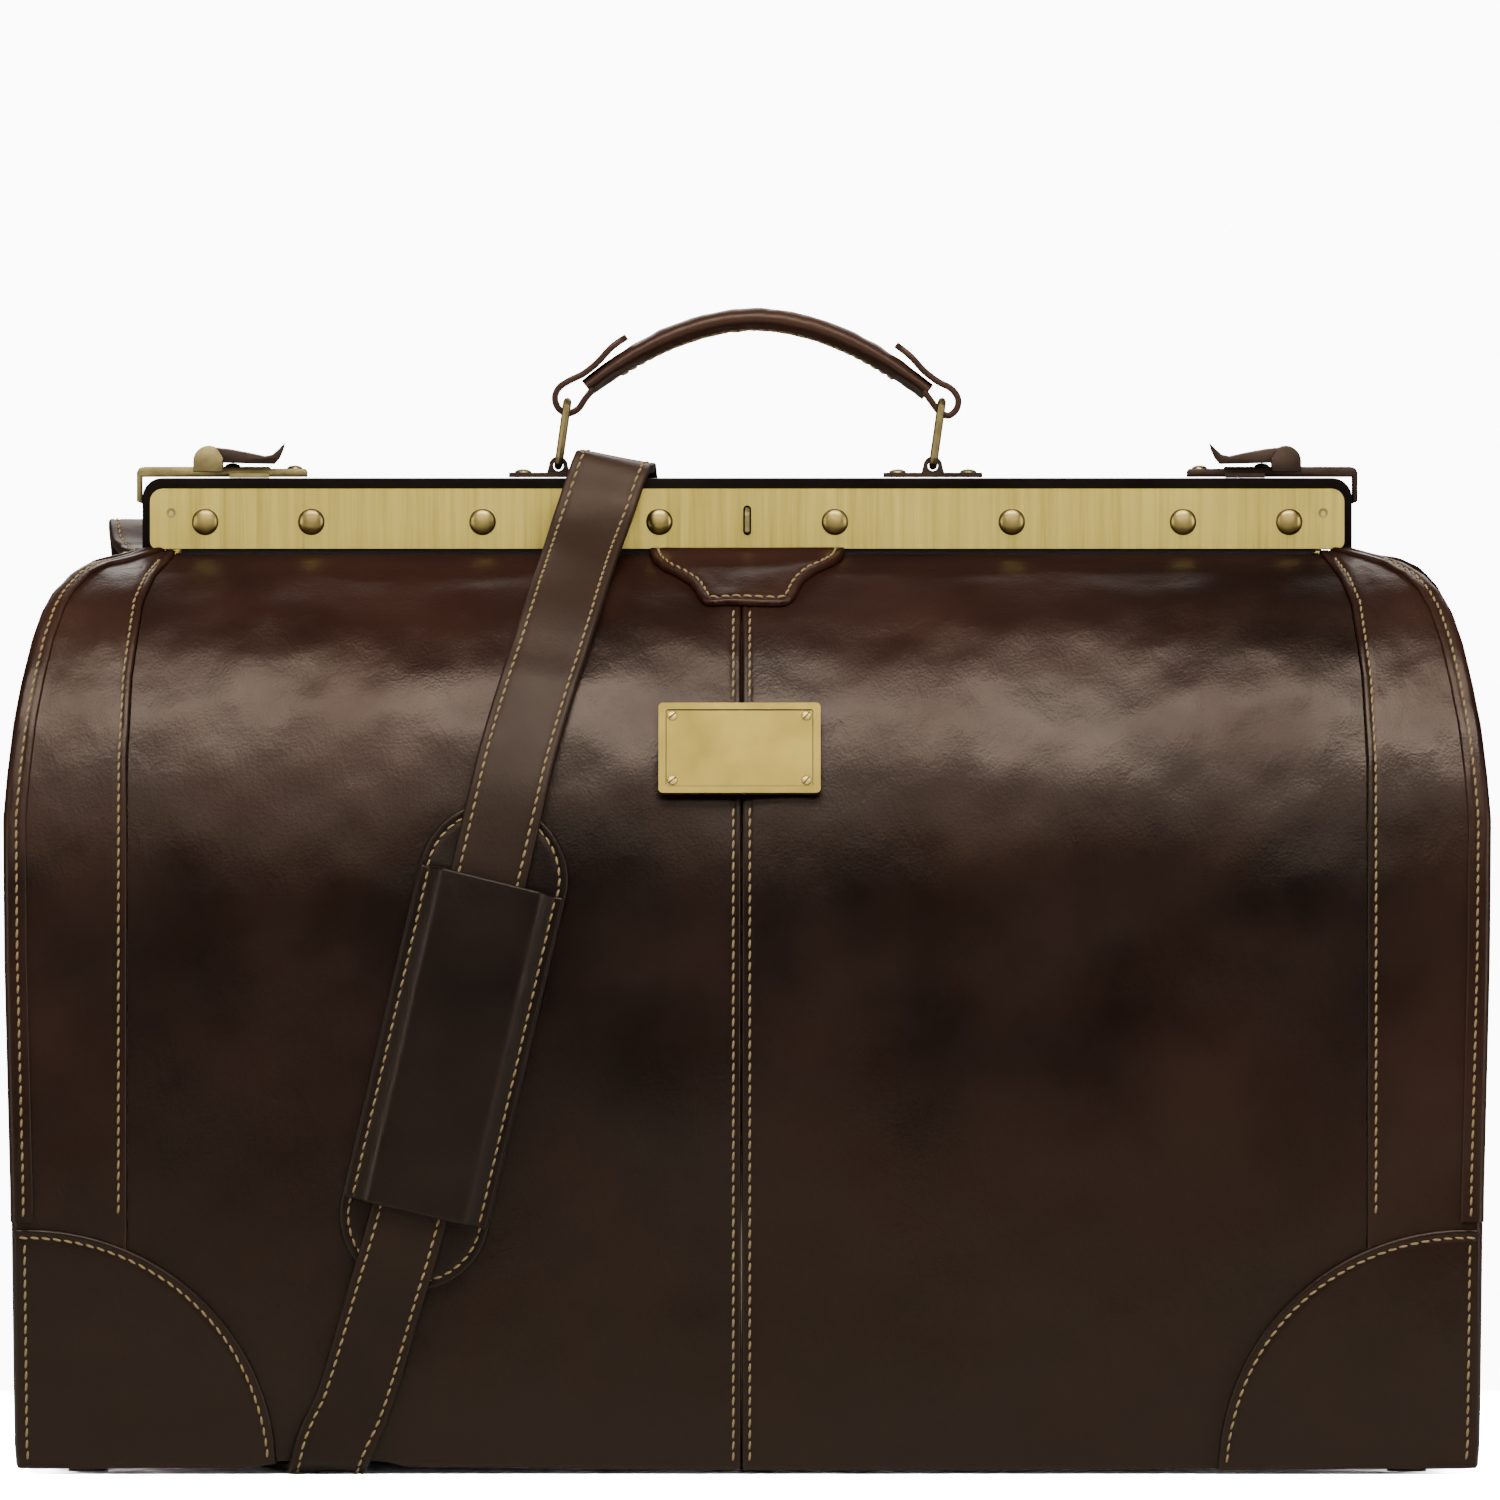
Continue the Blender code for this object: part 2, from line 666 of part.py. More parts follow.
def build_latches():
    """Two flip latches on the rear jaw that close over plates on the front jaw."""
    hole = [circle(0, 0, 1.45 * MM, 16)]
    y0, y1 = LATCH_Y
    for inward, hand in ((1, "left"), (-1, "right")):
        knuckle = latch_plate(inward, knuckle_outline(), hole, 4.5 * MM, 12.5 * MM)
        reach = (1.2 * MM, 15.8 * MM)
        foot = latch_box(inward, -24.9 * MM, 35.5 * MM, *reach, -6.0 * MM, -4.2 * MM)
        drop = latch_box(inward, -24.9 * MM, -23.1 * MM, *reach, -15 * MM, -5 * MM)
        tools = ((foot, "UNION"), (drop, "UNION"))
        joined(f"latch_base_{hand}", knuckle, tools, BRASS_AGED)
        blade = latch_plate(inward, blade_outline(), (), y0, y1)
        cheek_front = latch_plate(inward, cheek_outline(), (), 0.6 * MM, 4.2 * MM)
        cheek_rear = latch_plate(inward, cheek_outline(), (), 12.8 * MM, 16.0 * MM)
        x = -inward * LATCH_X
        pin = mesh_of(rod((x, 1 * MM, LATCH_Z), (x, 15.6 * MM, LATCH_Z), 1.3 * MM, 16))
        tools = ((cheek_front, "UNION"), (cheek_rear, "UNION"), (pin, "UNION"))
        joined(f"latch_lever_{hand}", blade, tools, BRASS_AGED)
        reach = (-14.0 * MM, -3.0 * MM)
        keeper = latch_box(inward, 8 * MM, 22 * MM, *reach, -6.0 * MM, -4.4 * MM)
        put(f"latch_keeper_{hand}", keeper, BRASS_AGED)


# ------------------------------------------------------------------ handle


def handle_bar(side, upper):
    """The middle of a ring's lower or upper bar."""
    middle = RING_LEFT + Vector((RING_SPAN if side > 0 else 0.0, 0, 0))
    return middle + RING_RISE if upper else middle


def build_handle_bases():
    """Plates on the rear jaw, each with an arched eye for a ring."""
    for side, hand in ((-1, "left"), (1, "right")):
        bar = handle_bar(side, False)
        y = bar.y
        base = mesh_of(
            box(
                (bar.x - 17.5 * MM, y - 7 * MM, JAW_TOP + 0.3 * MM),
                (bar.x + 17.5 * MM, y + 7 * MM, JAW_TOP + 1.9 * MM),
            )
        )
        arch = [(3.4 * MM * math.cos(t), 3.4 * MM * math.sin(t)) for t in half_turn()]
        arch = [(-4.2 * MM, -3.0 * MM), (4.2 * MM, -3.0 * MM), *arch]
        ring = [(bar.x + x, bar.z + z) for x, z in arch]
        hole = circle(bar.x, bar.z, 1.8 * MM, 16)
        eye = upright(plate(ring, (hole,), 8 * MM), y)
        joined(f"handle_base_{hand}", base, ((eye, "UNION"),), BRASS_AGED)


def half_turn(steps=9):
    """Angles over the top of an arch, from right to left."""
    return [math.pi * i / (steps - 1) for i in range(steps)]


def build_handle_rings():
    """Wire rings that lean together between the bases and the grip."""
    for side, hand in ((-1, "left"), (1, "right")):
        low, high = handle_bar(side, False), handle_bar(side, True)
        length = (high - low).length
        along = (high - low) / length
        ring = round_box(-RING_HALF_Y, RING_HALF_Y, 0, length, [3.2 * MM] * 4, 3)
        points = [low + Vector((0, y, 0)) + along * z for y, z in ring]
        mesh = wire(points, WIRE_R, closed=True, sides=4)
        item = put(f"handle_ring_{hand}", mesh, BRASS_AGED)
        mesh.transform(Matrix.Translation(-low))
        item.location = low


def grip_line():
    """The arched middle line of the grip, from its left loop to its right loop."""
    left, right = handle_bar(-1, True), handle_bar(1, True)
    rise = GRIP_TOP - 3.6 * MM - left.z
    points = []
    for i in range(25):
        t = math.sin(math.pi * (i / 24 - 0.5))
        x = (left.x + right.x) / 2 + t * (right.x - left.x) / 2
        share = 1 - abs(t) ** 1.9
        points.append((x, left.y, left.z + rise * share))
    return points


def build_grip():
    """Rolled leather grip with a loop round each ring's upper bar."""
    line = grip_line()
    left, right = handle_bar(-1, True), handle_bar(1, True)
    core = wire(line[1:-1], 3.6 * MM, sides=4)
    core.transform(
        Matrix.Translation((0, left.y, 0))
        @ Matrix.Scale(1.6, 4, (0, 1, 0))
        @ Matrix.Translation((0, -left.y, 0))
    )
    tools = [(core, "UNION")]
    for bar in (left, right):
        hole = circle(bar.x, bar.z, 2.0 * MM, 16)
        loop = circle(bar.x, bar.z, 5.2 * MM, 20)
        eye = upright(plate(loop, (hole,), 10.4 * MM), bar.y)
        tools.append((eye, "UNION"))
    base = tools.pop()[0]
    for bar in (left, right):
        hole = upright(plate(circle(bar.x, bar.z, 2.0 * MM, 16), (), 30 * MM), bar.y)
        tools.append((hole, "DIFFERENCE"))
    item = joined("handle_grip", base, tools, STRAP_BROWN)
    for mesh in [base] + [t[0] for t in tools]:
        mesh.transform(Matrix.Translation(-left))
    for step in item.modifiers:
        step.object.location = left
    item.location = left


# ---------------------------------------------------------------- hardware


def build_d_rings():
    """Chapes on the rear facing, each holding a D-ring that lies on the shoulder."""
    y, z = D_RING_EYE
    back = JAW_GAP + JAW_DEPTH + 0.3 * MM + FACING_THICKNESS + 0.2 * MM
    for side, hand in ((-1, "left"), (1, "right")):
        x = side * D_RING_X
        base = mesh_of(
            box((x - 7 * MM, back, z - 3 * MM), (x + 7 * MM, back + 1.4 * MM, z + 14 * MM))
        )
        ring = circle(y, z, 3.4 * MM, 20)
        hole = circle(y, z, 1.8 * MM, 16)
        eye = sideways(plate(ring, (hole,), 14 * MM), x)
        bore = sideways(plate(hole, (), 30 * MM), x)
        tools = ((eye, "UNION"), (bore, "DIFFERENCE"))
        joined(f"d_ring_chape_{hand}", base, tools, BRASS_AGED)
        drop = math.radians(-5)
        arc = [math.radians(t) for t in range(0, 181, 20)]
        flat = [(12.5 * math.cos(t), 6.5 + 13.5 * math.sin(t)) for t in arc]
        flat = [(12.5, 0.0)] + flat + [(-12.5, 0.0)]
        points = [
            (u * MM, v * MM * math.cos(drop), v * MM * math.sin(drop)) for u, v in flat
        ]
        item = put(f"d_ring_{hand}", wire(points, WIRE_R, True), BRASS_AGED)
        item.location = (x, y, z)


def hook_place(side):
    """From the hook's own frame (x along it, from the D-ring) to the bag."""
    y, z = D_RING_EYE
    y += D_RING_DEPTH * math.cos(math.radians(5))
    z -= D_RING_DEPTH * math.sin(math.radians(5)) - 0.4 * MM
    turn = Matrix.Rotation(math.pi / 2 + HOOK_TURN, 4, "Z")
    tilt = Matrix.Rotation(-HOOK_DROP, 4, "Y")
    return Matrix.Translation((side * D_RING_X, y, z)) @ turn @ tilt


def build_hooks():
    """Snap hooks from the D-rings to the strap, each with a sprung gate."""
    for side, hand in ((-1, "left"), (1, "right")):
        bend = [math.radians(t) for t in range(90, 271, 20)]
        nose = [(3.6 * math.cos(t), 3.6 * math.sin(t)) for t in bend]
        line = [(5.5, 3.6)] + nose + [(10, -3.6), (14, -2.2), (16.5, 0)]
        hook = wire([(x * MM, 0, z * MM) for x, z in line], 1.6 * MM)
        body = mesh_of(rod((15 * MM, 0, 0), (21.6 * MM, 0, 0), 3.0 * MM, 16))
        frame = round_box(21.2 * MM, 31.2 * MM, -16.4 * MM, 16.4 * MM, [1.5 * MM] * 4, 2)
        bow = wire([(x, y, 0) for x, y in frame], 1.5 * MM, closed=True)
        tools = ((body, "UNION"), (bow, "UNION"))
        place = hook_place(side)
        origin = place.translation
        item = joined(f"snap_hook_{hand}", hook, tools, BRASS_PALE)
        for mesh in (hook, body, bow):
            mesh.transform(Matrix.Translation(-origin) @ place)
        for step in item.modifiers:
            step.object.location = origin
        item.location = origin
        gate_end = (7.6 * MM, 0, 3.9 * MM)
        pivot = Vector((15.6 * MM, 0, 4.5 * MM))
        gate = mesh_of(rod(gate_end, pivot, 1.1 * MM, 12))
        gate.transform(Matrix.Translation(-(place @ pivot)) @ place)
        gate_item = put(f"hook_gate_{hand}", gate, BRASS_AGED)
        gate_item.location = place @ pivot


# -------------------------------------------------------------- shoulder strap


def hook_points(side, rows):
    """Strap rows given in a hook's frame: x, z and the outward x, z."""
    place = hook_place(side)
    turn = place.to_3x3()
    out = []
    for x, z, out_x, out_z in rows:
        point = place @ Vector((x * MM, 0, z * MM))
        out.append((point, turn @ Vector((out_x, 0, out_z))))
    return out


def loop_rows():
    """The strap's turn round a hook's bar, from below it to above it."""
    turns = [math.radians(t) for t in (270, 225, 180, 135, 90)]
    return [
        (31.2 + 2.4 * math.cos(t), 2.4 * math.sin(t), math.cos(t), math.sin(t))
        for t in turns
    ]


def left_run():
    """From the left hook's loop over the rear shoulder and down to the base."""
    rows = [(45, 2.6, 0.3, -1), (38, 0.0, 0.2, -1)] + loop_rows()
    rows += [(36.5, 4.6, -0.3, 1), (42, 8.6, -0.3, 1)]
    path = hook_points(-1, rows)
    fall = (
        (-213.0, 94.0, 328.6, 0, 1),
        (-213.5, 104.0, 329.6, 1, 3),
        (-213.0, 116.0, 323.5, 2, 2),
        (-211.5, 125.5, 308.0, 4, 1),
        (-208.5, 130.5, 285.0, 1, 0),
        (-205.0, 132.2, 250.0, 1, 0),
        (-202.0, 132.6, 215.0, 1, 0),
        (-199.5, 132.6, 155.0, 1, 0),
        (-198.0, 132.6, 115.0, 1, 0),
        (-194.5, 131.0, 70.0, 1, 0),
        (-191.0, 128.2, 30.0, 1, 0),
        (-189.6, 126.4, 13.0, 1, 0),
        (-189.2, 125.5, 7.5, 4, -1),
        (-189.0, 124.8, 4.3, 1, -1),
        (-188.6, 121.8, 3.45, 0, -1),
        (-186.0, 110.0, 3.9, 0, -1),
    )
    return path + [placed(*row) for row in fall]


def placed(x, y, z, out_y, out_z, out_x=0.0):
    """One strap row, given in millimetres, with the way it faces."""
    return Vector((x * MM, y * MM, z * MM)), Vector((out_x, out_y, out_z))


def front_run():
    """Under the base, up the front, under the pad's sleeve and over the frame."""
    path = [
        placed(-180.0, 70.0, 3.9, 0, -1),
        placed(-172.0, 20.0, 3.9, 0, -1),
        placed(-165.0, -20.0, 3.9, 0, -1),
        placed(-160.0, -50.0, 3.9, 0, -1),
        placed(-156.3, -74.0, 3.9, 0, -1),
        placed(-153.4, -92.0, 3.9, 0, -1),
        placed(-151.2, -104.0, 3.9, 0, -1),
        placed(-149.5, -112.5, 3.8, 0, -1),
        placed(-148.3, -118.6, 3.7, 0, -1),
        placed(-147.1, -122.2, 5.2, -1, -1),
        placed(-145.8, -123.6, 8.5, -4, -1),
        placed(-143.0, -124.2, 14.5, -1, 0),
    ]
    for z in (24, 40, 52, 64, 78, 100, 130, 160, 190, 212, 226, 238, 250, 268, 284):
        rise = 0.7 + 3.4 * smooth((z - 50) / 14) * smooth((264 - z) / 24)
        y, height = wall_at(z * MM, rise * MM)
        _, ny, nz = wall_normal(z * MM)
        x = float(np.interp(z * MM, STRAP_FRONT_Z, STRAP_FRONT_X))
        path.append((Vector((x, -y, height)), Vector((0, -ny, nz))))
    over = (
        (-65.3, -79.5, 301.6, -1, 1),
        (-61.3, -61.5, 313.5, -1, 2),
        (-58.6, -46.0, 321.8, -1, 2),
        (-56.0, -34.0, 329.8, -1, 1),
        (-52.6, -25.0, 340.0, -2, 1),
        (-49.6, -20.6, 349.0, -2, 1),
        (-48.2, -17.6, 352.4, -1, 2, 0.4),
        (-47.9, -13.0, 353.0, 0, 1, 0.2),
        (-47.2, 0.0, 353.0, 0, 1, 0.2),
        (-46.4, 13.0, 353.0, 0, 1, 0.2),
        (-46.0, 17.6, 352.4, 1, 2, 0.4),
        (-45.4, 20.6, 349.0, 2, 1),
        (-44.2, 25.0, 340.0, 2, 1),
        (-41.2, 34.0, 329.8, 1, 1),
        (-36.4, 46.0, 321.8, 1, 2),
        (-28.4, 61.5, 313.5, 1, 2),
        (-17.4, 79.8, 301.8, 1, 1),
    )
    return path + [placed(*row) for row in over]


def wall_normal(z):
    """A point's length along the wall and its outward normal, at a height."""
    s = float(np.interp(z, WALL[2], WALL[0]))
    return s, float(np.interp(s, WALL[0], WALL[3])), float(np.interp(s, WALL[0], WALL[4]))


def right_run():
    """Down the back, a hanging bend, and up to the right hook's loop."""
    fall = (
        (-7.0, 97.0, 283.0, 2, 1),
        (3.5, 110.6, 265.0, 2, 1),
        (16.5, 121.0, 240.0, 3, 1),
        (27.0, 127.0, 215.0, 4, 1),
        (34.8, 129.6, 195.0, 1, 0),
        (40.0, 130.2, 180.0, 1, 0),
        (43.0, 132.0, 170.5, 2, 1),
        (46.5, 137.0, 166.0, 0, 1),
        (50.0, 142.0, 170.5, -2, 1),
        (53.0, 143.8, 180.0, -1, 0),
        (58.0, 144.0, 198.0, -1, 0),
        (67.0, 144.0, 222.0, -4, -1),
        (82.0, 142.0, 247.0, -3, -1),
        (104.0, 135.0, 272.0, -2, -1),
        (130.0, 123.5, 293.0, -1, -1),
        (153.0, 109.0, 307.0, -2, -3),
        (170.0, 95.5, 313.5, -1, -3),
    )
    path = [placed(*row) for row in fall]
    rows = [(44, -0.9, 0.1, -1), (37, -2.3, 0, -1)] + loop_rows()
    rows += [(37, 2.4, 0, 1), (45, 3.6, -0.1, 1)]
    return path + hook_points(1, rows)


def spline(knots, share):
    """A smooth curve through the knots: the point at a share of their count."""
    place = share * (len(knots) - 1)
    i = min(int(place), len(knots) - 2)
    t = place - i
    a, b = knots[max(i - 1, 0)], knots[i]
    c, d = knots[i + 1], knots[min(i + 2, len(knots) - 1)]
    bend = 2 * a - 5 * b + 4 * c - d
    return 0.5 * (2 * b + (c - a) * t + bend * t * t + (3 * (b - c) + d - a) * t**3)


def build_strap():
    """One long strap: both ends loop round a hook, the middle passes over the frame."""
    path = left_run() + front_run() + right_run()
    points = [p for p, _ in path]
    facing = [o.normalized() for _, o in path]
    rows = 2 * (len(path) - 1)

    def place(u, v):
        middle = spline(points, v)
        ahead = spline(points, min(v + 0.002, 1)) - spline(points, max(v - 0.002, 0))
        out = spline(facing, v)
        across = ahead.cross(out).normalized()
        return middle + across * ((u - 0.5) * STRAP_WIDTH)

    sheet("shoulder_strap", 1, rows, place, STRAP_THICKNESS, STRAP_BROWN, True)


def pad_point(along, across, rise):
    """A point over the front panel in the pad's tilted frame."""
    axis = Vector((0.2273, 0.9738))
    x = -0.1031 + along * axis.x + across * axis.y
    z = 0.14985 + along * axis.y - across * axis.x
    y, height = wall_at(z, rise)
    return Vector((x, -y, height))


def build_pad():
    """Shoulder pad: a long backing with round ends and a sleeve for the strap."""
    half_length, half = 87.0 * MM, 26.5 * MM

    def backing(u, v):
        turn = math.pi * (v - 0.5) * 0.97
        along = half_length * math.sin(turn) / math.sin(math.pi * 0.485)
        past = max(0.0, abs(along) - (half_length - half))
        width = math.sqrt(max(half * half - past * past, (2 * MM) ** 2))
        return pad_point(along, (2 * u - 1) * width, 3.5 * MM)

    sheet("shoulder_pad_backing", 2, 24, backing, 2.9 * MM, LEATHER_BROWN)

    def sleeve(u, v):
        across = (2 * u - 1) * 25.8 * MM
        lift = 4.1 + 4.2 * smooth((23.5 * MM - abs(across)) / (6.5 * MM))
        return pad_point((v - 0.5) * 119 * MM, across, (lift + 2.2) * MM)

    sheet("shoulder_pad_sleeve", 16, 10, sleeve, 2.2 * MM, LEATHER_BROWN)


def build_buckle():
    """Slide buckle round the strap on the back."""
    x, y, z = -198.9 * MM, 132.6 * MM, 135 * MM
    rim, deep, tall = 18.0 * MM, 3.0 * MM, 5.0 * MM
    top = y + STRAP_THICKNESS
    ring = mesh_of(box((x - rim, y - deep, z - tall), (x + rim, top + deep, z + tall)))
    hole = mesh_of(
        box(
            (x - 14.6 * MM, y - 0.7 * MM, z - 9 * MM),
            (x + 14.6 * MM, top + 0.7 * MM, z + 9 * MM),
        )
    )
    joined("strap_buckle", ring, ((hole, "DIFFERENCE"),), BRASS_AGED)


start()
build_panels()
build_bands()
build_patches()
build_gussets()
build_base()
build_boards()
build_lining()
build_tab()
build_name_plate()
build_jaw(1, "front")
build_jaw(-1, "rear")
build_pins()
build_lock_staple()
build_latches()
build_handle_bases()
build_handle_rings()
build_grip()
build_d_rings()
build_hooks()
build_strap()
build_pad()
build_buckle()
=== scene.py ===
"""Doctor bag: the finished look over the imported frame. Metres, front at -Y, Z up."""
import math

import bmesh
import bpy
import numpy as np
from mathutils import Matrix, Vector


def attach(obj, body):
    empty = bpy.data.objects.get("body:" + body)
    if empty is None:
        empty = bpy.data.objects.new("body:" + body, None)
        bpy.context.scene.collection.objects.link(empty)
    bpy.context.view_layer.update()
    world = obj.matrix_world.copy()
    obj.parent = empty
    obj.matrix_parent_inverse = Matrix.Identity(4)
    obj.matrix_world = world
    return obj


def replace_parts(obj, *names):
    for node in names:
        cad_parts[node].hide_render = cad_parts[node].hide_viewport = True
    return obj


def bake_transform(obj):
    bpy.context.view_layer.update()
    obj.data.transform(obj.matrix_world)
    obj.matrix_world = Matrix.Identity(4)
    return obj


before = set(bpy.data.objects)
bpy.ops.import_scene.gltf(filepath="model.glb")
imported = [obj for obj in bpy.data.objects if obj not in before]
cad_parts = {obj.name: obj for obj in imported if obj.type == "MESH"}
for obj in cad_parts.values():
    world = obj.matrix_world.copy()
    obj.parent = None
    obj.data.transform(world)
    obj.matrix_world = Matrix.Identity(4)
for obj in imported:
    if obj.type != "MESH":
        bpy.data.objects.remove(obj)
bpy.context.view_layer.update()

MM = 0.001

# ---------------------------------------------------------------- dimensions
BASE_Z = 4.5 * MM
WALL_Z = (4.5 * MM, 20 * MM, 50 * MM, 100 * MM, 150 * MM, 190 * MM)
WALL_Y = (120.0 * MM, 123.2 * MM, 125.5 * MM, 127.4 * MM, 128.0 * MM, 127.2 * MM)
SHOULDER_Z, SHOULDER_RISE = 190 * MM, 132 * MM
MOUTH_Y, MOUTH_Z = 18 * MM, 322 * MM
WIDTH_Z = (0.0, 0.012, 0.100, 0.180, 0.230, 0.2455, 0.263, 0.277)
WIDTH_Z += (0.2915, 0.302, 0.308, 0.3137, 0.3176, 0.320, 0.322)
WIDTH_X = (0.2565, 0.2575, 0.2585, 0.2605, 0.2610, 0.2597, 0.2576, 0.2550)
WIDTH_X += (0.2516, 0.2480, 0.2445, 0.2390, 0.2320, 0.2215, 0.2140)
BAND_Z = (0.0, 0.250, 0.280, 0.305, 0.314, 0.320, 0.322)
BAND_X = (0.2180, 0.2180, 0.2165, 0.2130, 0.2090, 0.2040, 0.2025)
PATCH_RISE, PATCH_RUN = 86 * MM, 88 * MM
HINGE_Z = 245 * MM
SEAM_X = -2.0 * MM
BAND_LIFT, BINDING_LIFT, PATCH_LIFT, TAB_LIFT = 1.2 * MM, 2.5 * MM, 3.2 * MM, 2.5 * MM
PAD_LIFT, SLEEVE_LIFT = 3.5 * MM, 6.3 * MM
SEAM_IN, THREAD_SINK = 3 * MM, 0.12 * MM
SAG, SAG_MIDDLE, SAG_REACH = 2.2, 1.3, 0.05
STRAP_UNDER_X, STRAP_CLEAR = {1: 0.147, -1: 0.189}, 0.024
RIVET_X = (31.0 * MM, 93.5 * MM, 154.0 * MM, 191.5 * MM)
STITCH_PITCH, STITCH_LENGTH = 3.9 * MM, 3.1 * MM

FRONT_FOLD = ("bag_body", "front_jaw", (0, 0, 0.272), (0, 0, 0.3225))
REAR_FOLD = ("bag_body", "rear_jaw", (0, 0, 0.272), (0, 0, 0.3225))


# ---------------------------------------------------------------- camera and studio
SENSOR, VIEW_WIDTH = 36.0, 0.5305
CAMERA_AWAY, CAMERA_TILT, CAMERA_AIM = 20.0, math.radians(0.8), Vector((0.001, 0.0, 0.2526))
WHITE, SURROUND = 11.0, 0.065
FLOOR_SIZE, FLOOR_Z, FADE_FROM, FADE_TO = 14, -0.0005, 0.40, 1.10


def feed(tree, socket, value):
    """Join another node's output to a socket, or set the socket's own value."""
    if isinstance(value, bpy.types.NodeSocket):
        tree.links.new(value, socket)
    else:
        socket.default_value = value


def add_node(tree, kind, values=None, **settings):
    """A new node with its settings and inputs."""
    node = tree.nodes.new(kind)
    for key, value in settings.items():
        setattr(node, key, value)
    for key, value in (values or {}).items():
        feed(tree, node.inputs[key], value)
    return node


def camera_share(tree):
    """1 for what the camera sees directly, 0 for light and reflections."""
    return add_node(tree, "ShaderNodeLightPath").outputs["Is Camera Ray"]


def make_camera():
    """Nearly level long-lens camera."""
    cam = bpy.data.cameras.new("camera")
    cam.sensor_width = SENSOR
    cam.lens = SENSOR * CAMERA_AWAY / VIEW_WIDTH
    cam.clip_end = 200
    eye = bpy.data.objects.new("camera", cam)
    bpy.context.scene.collection.objects.link(eye)
    back = Vector((0, -math.cos(CAMERA_TILT), math.sin(CAMERA_TILT)))
    eye.location = CAMERA_AIM + back * CAMERA_AWAY
    eye.rotation_euler = (-back).to_track_quat("-Z", "Y").to_euler()
    bpy.context.scene.camera = eye


def make_world():
    """White to the camera, dim and warm to everything else."""
    world = bpy.data.worlds.new("surroundings")
    bpy.context.scene.world = world
    world.use_nodes = True
    tree = world.node_tree
    shown = tree.nodes["Background"]
    feed(tree, shown.inputs["Color"], (1, 1, 1, 1))
    feed(tree, shown.inputs["Strength"], WHITE)
    glow = {"Color": (1.0, 0.93, 0.86, 1), "Strength": SURROUND}
    dim = add_node(tree, "ShaderNodeBackground", glow)
    ends = {0: camera_share(tree), 1: dim.outputs[0], 2: shown.outputs[0]}
    mix = add_node(tree, "ShaderNodeMixShader", ends)
    feed(tree, tree.nodes["World Output"].inputs["Surface"], mix.outputs[0])


def area_light(name, place, aim, width, height, power):
    """A soft box aimed at a point."""
    lamp = bpy.data.lights.new(name, "AREA")
    lamp.shape = "RECTANGLE"
    lamp.size, lamp.size_y, lamp.energy = width, height, power
    lamp.color = (1.0, 0.94, 0.88)
    item = bpy.data.objects.new(name, lamp)
    bpy.context.scene.collection.objects.link(item)
    item.location = place
    way = Vector(aim) - Vector(place)
    item.rotation_euler = way.to_track_quat("-Z", "Y").to_euler()
    return item


def make_lights(metal_pieces):
    """Soft overhead, side and back lights, and a large card that only metal sees."""
    area_light("key_top", (0.0, -0.75, 1.45), (0.0, 0.0, 0.27), 1.3, 0.5, 30)
    area_light("fill_low", (0.0, -1.2, 0.9), (0, -0.6, 0.0), 1.6, 0.35, 5)
    area_light("side_left", (-1.5, -0.8, 0.50), (-0.2, 0, 0.2), 0.35, 1.0, 8)
    area_light("side_right", (1.5, -0.8, 0.50), (0.2, 0, 0.2), 0.35, 1.0, 10)
    area_light("back_top", (0.0, 1.6, 1.3), (0, 0, 0.3), 1.6, 0.8, 18)
    card = area_light("metal_card", (0.0, -2.6, 0.75), (0, 0, 0.33), 2.6, 1.4, 19)
    metal = bpy.data.collections.new("metal")
    for piece in metal_pieces:
        metal.objects.link(piece)
    card.light_linking.receiver_collection = metal


def make_floor():
    """Pale floor that takes the bag's shadow and fades into the white surroundings."""
    bpy.ops.mesh.primitive_plane_add(size=FLOOR_SIZE, location=(0, 0, FLOOR_Z))
    floor = bpy.context.object
    floor.name = "floor"
    paint = bpy.data.materials.new("floor")
    paint.use_nodes = True
    tree = paint.node_tree
    tree.nodes.remove(tree.nodes["Principled BSDF"])
    seen = camera_share(tree)
    tones = {0: seen, 6: (0.75, 0.75, 0.75, 1), 7: (90.0, 96.0, 103.0, 1)}
    pale = add_node(tree, "ShaderNodeMix", tones, data_type="RGBA")
    cloth = add_node(tree, "ShaderNodeBsdfDiffuse", {"Color": pale.outputs[2]})
    place = add_node(tree, "ShaderNodeTexCoord").outputs["Object"]
    far = add_node(tree, "ShaderNodeVectorMath", {0: place}, operation="LENGTH").outputs["Value"]
    ends = {"Value": far, "From Min": FADE_FROM, "From Max": FADE_TO}
    fade = add_node(tree, "ShaderNodeMapRange", ends).outputs["Result"]
    share = add_node(tree, "ShaderNodeMath", {0: fade, 1: seen}, operation="MULTIPLY")
    white = add_node(tree, "ShaderNodeEmission", {"Strength": WHITE})
    ends = {0: share.outputs[0], 1: cloth.outputs[0], 2: white.outputs[0]}
    join = add_node(tree, "ShaderNodeMixShader", ends)
    feed(tree, tree.nodes["Material Output"].inputs["Surface"], join.outputs[0])
    floor.data.materials.append(paint)


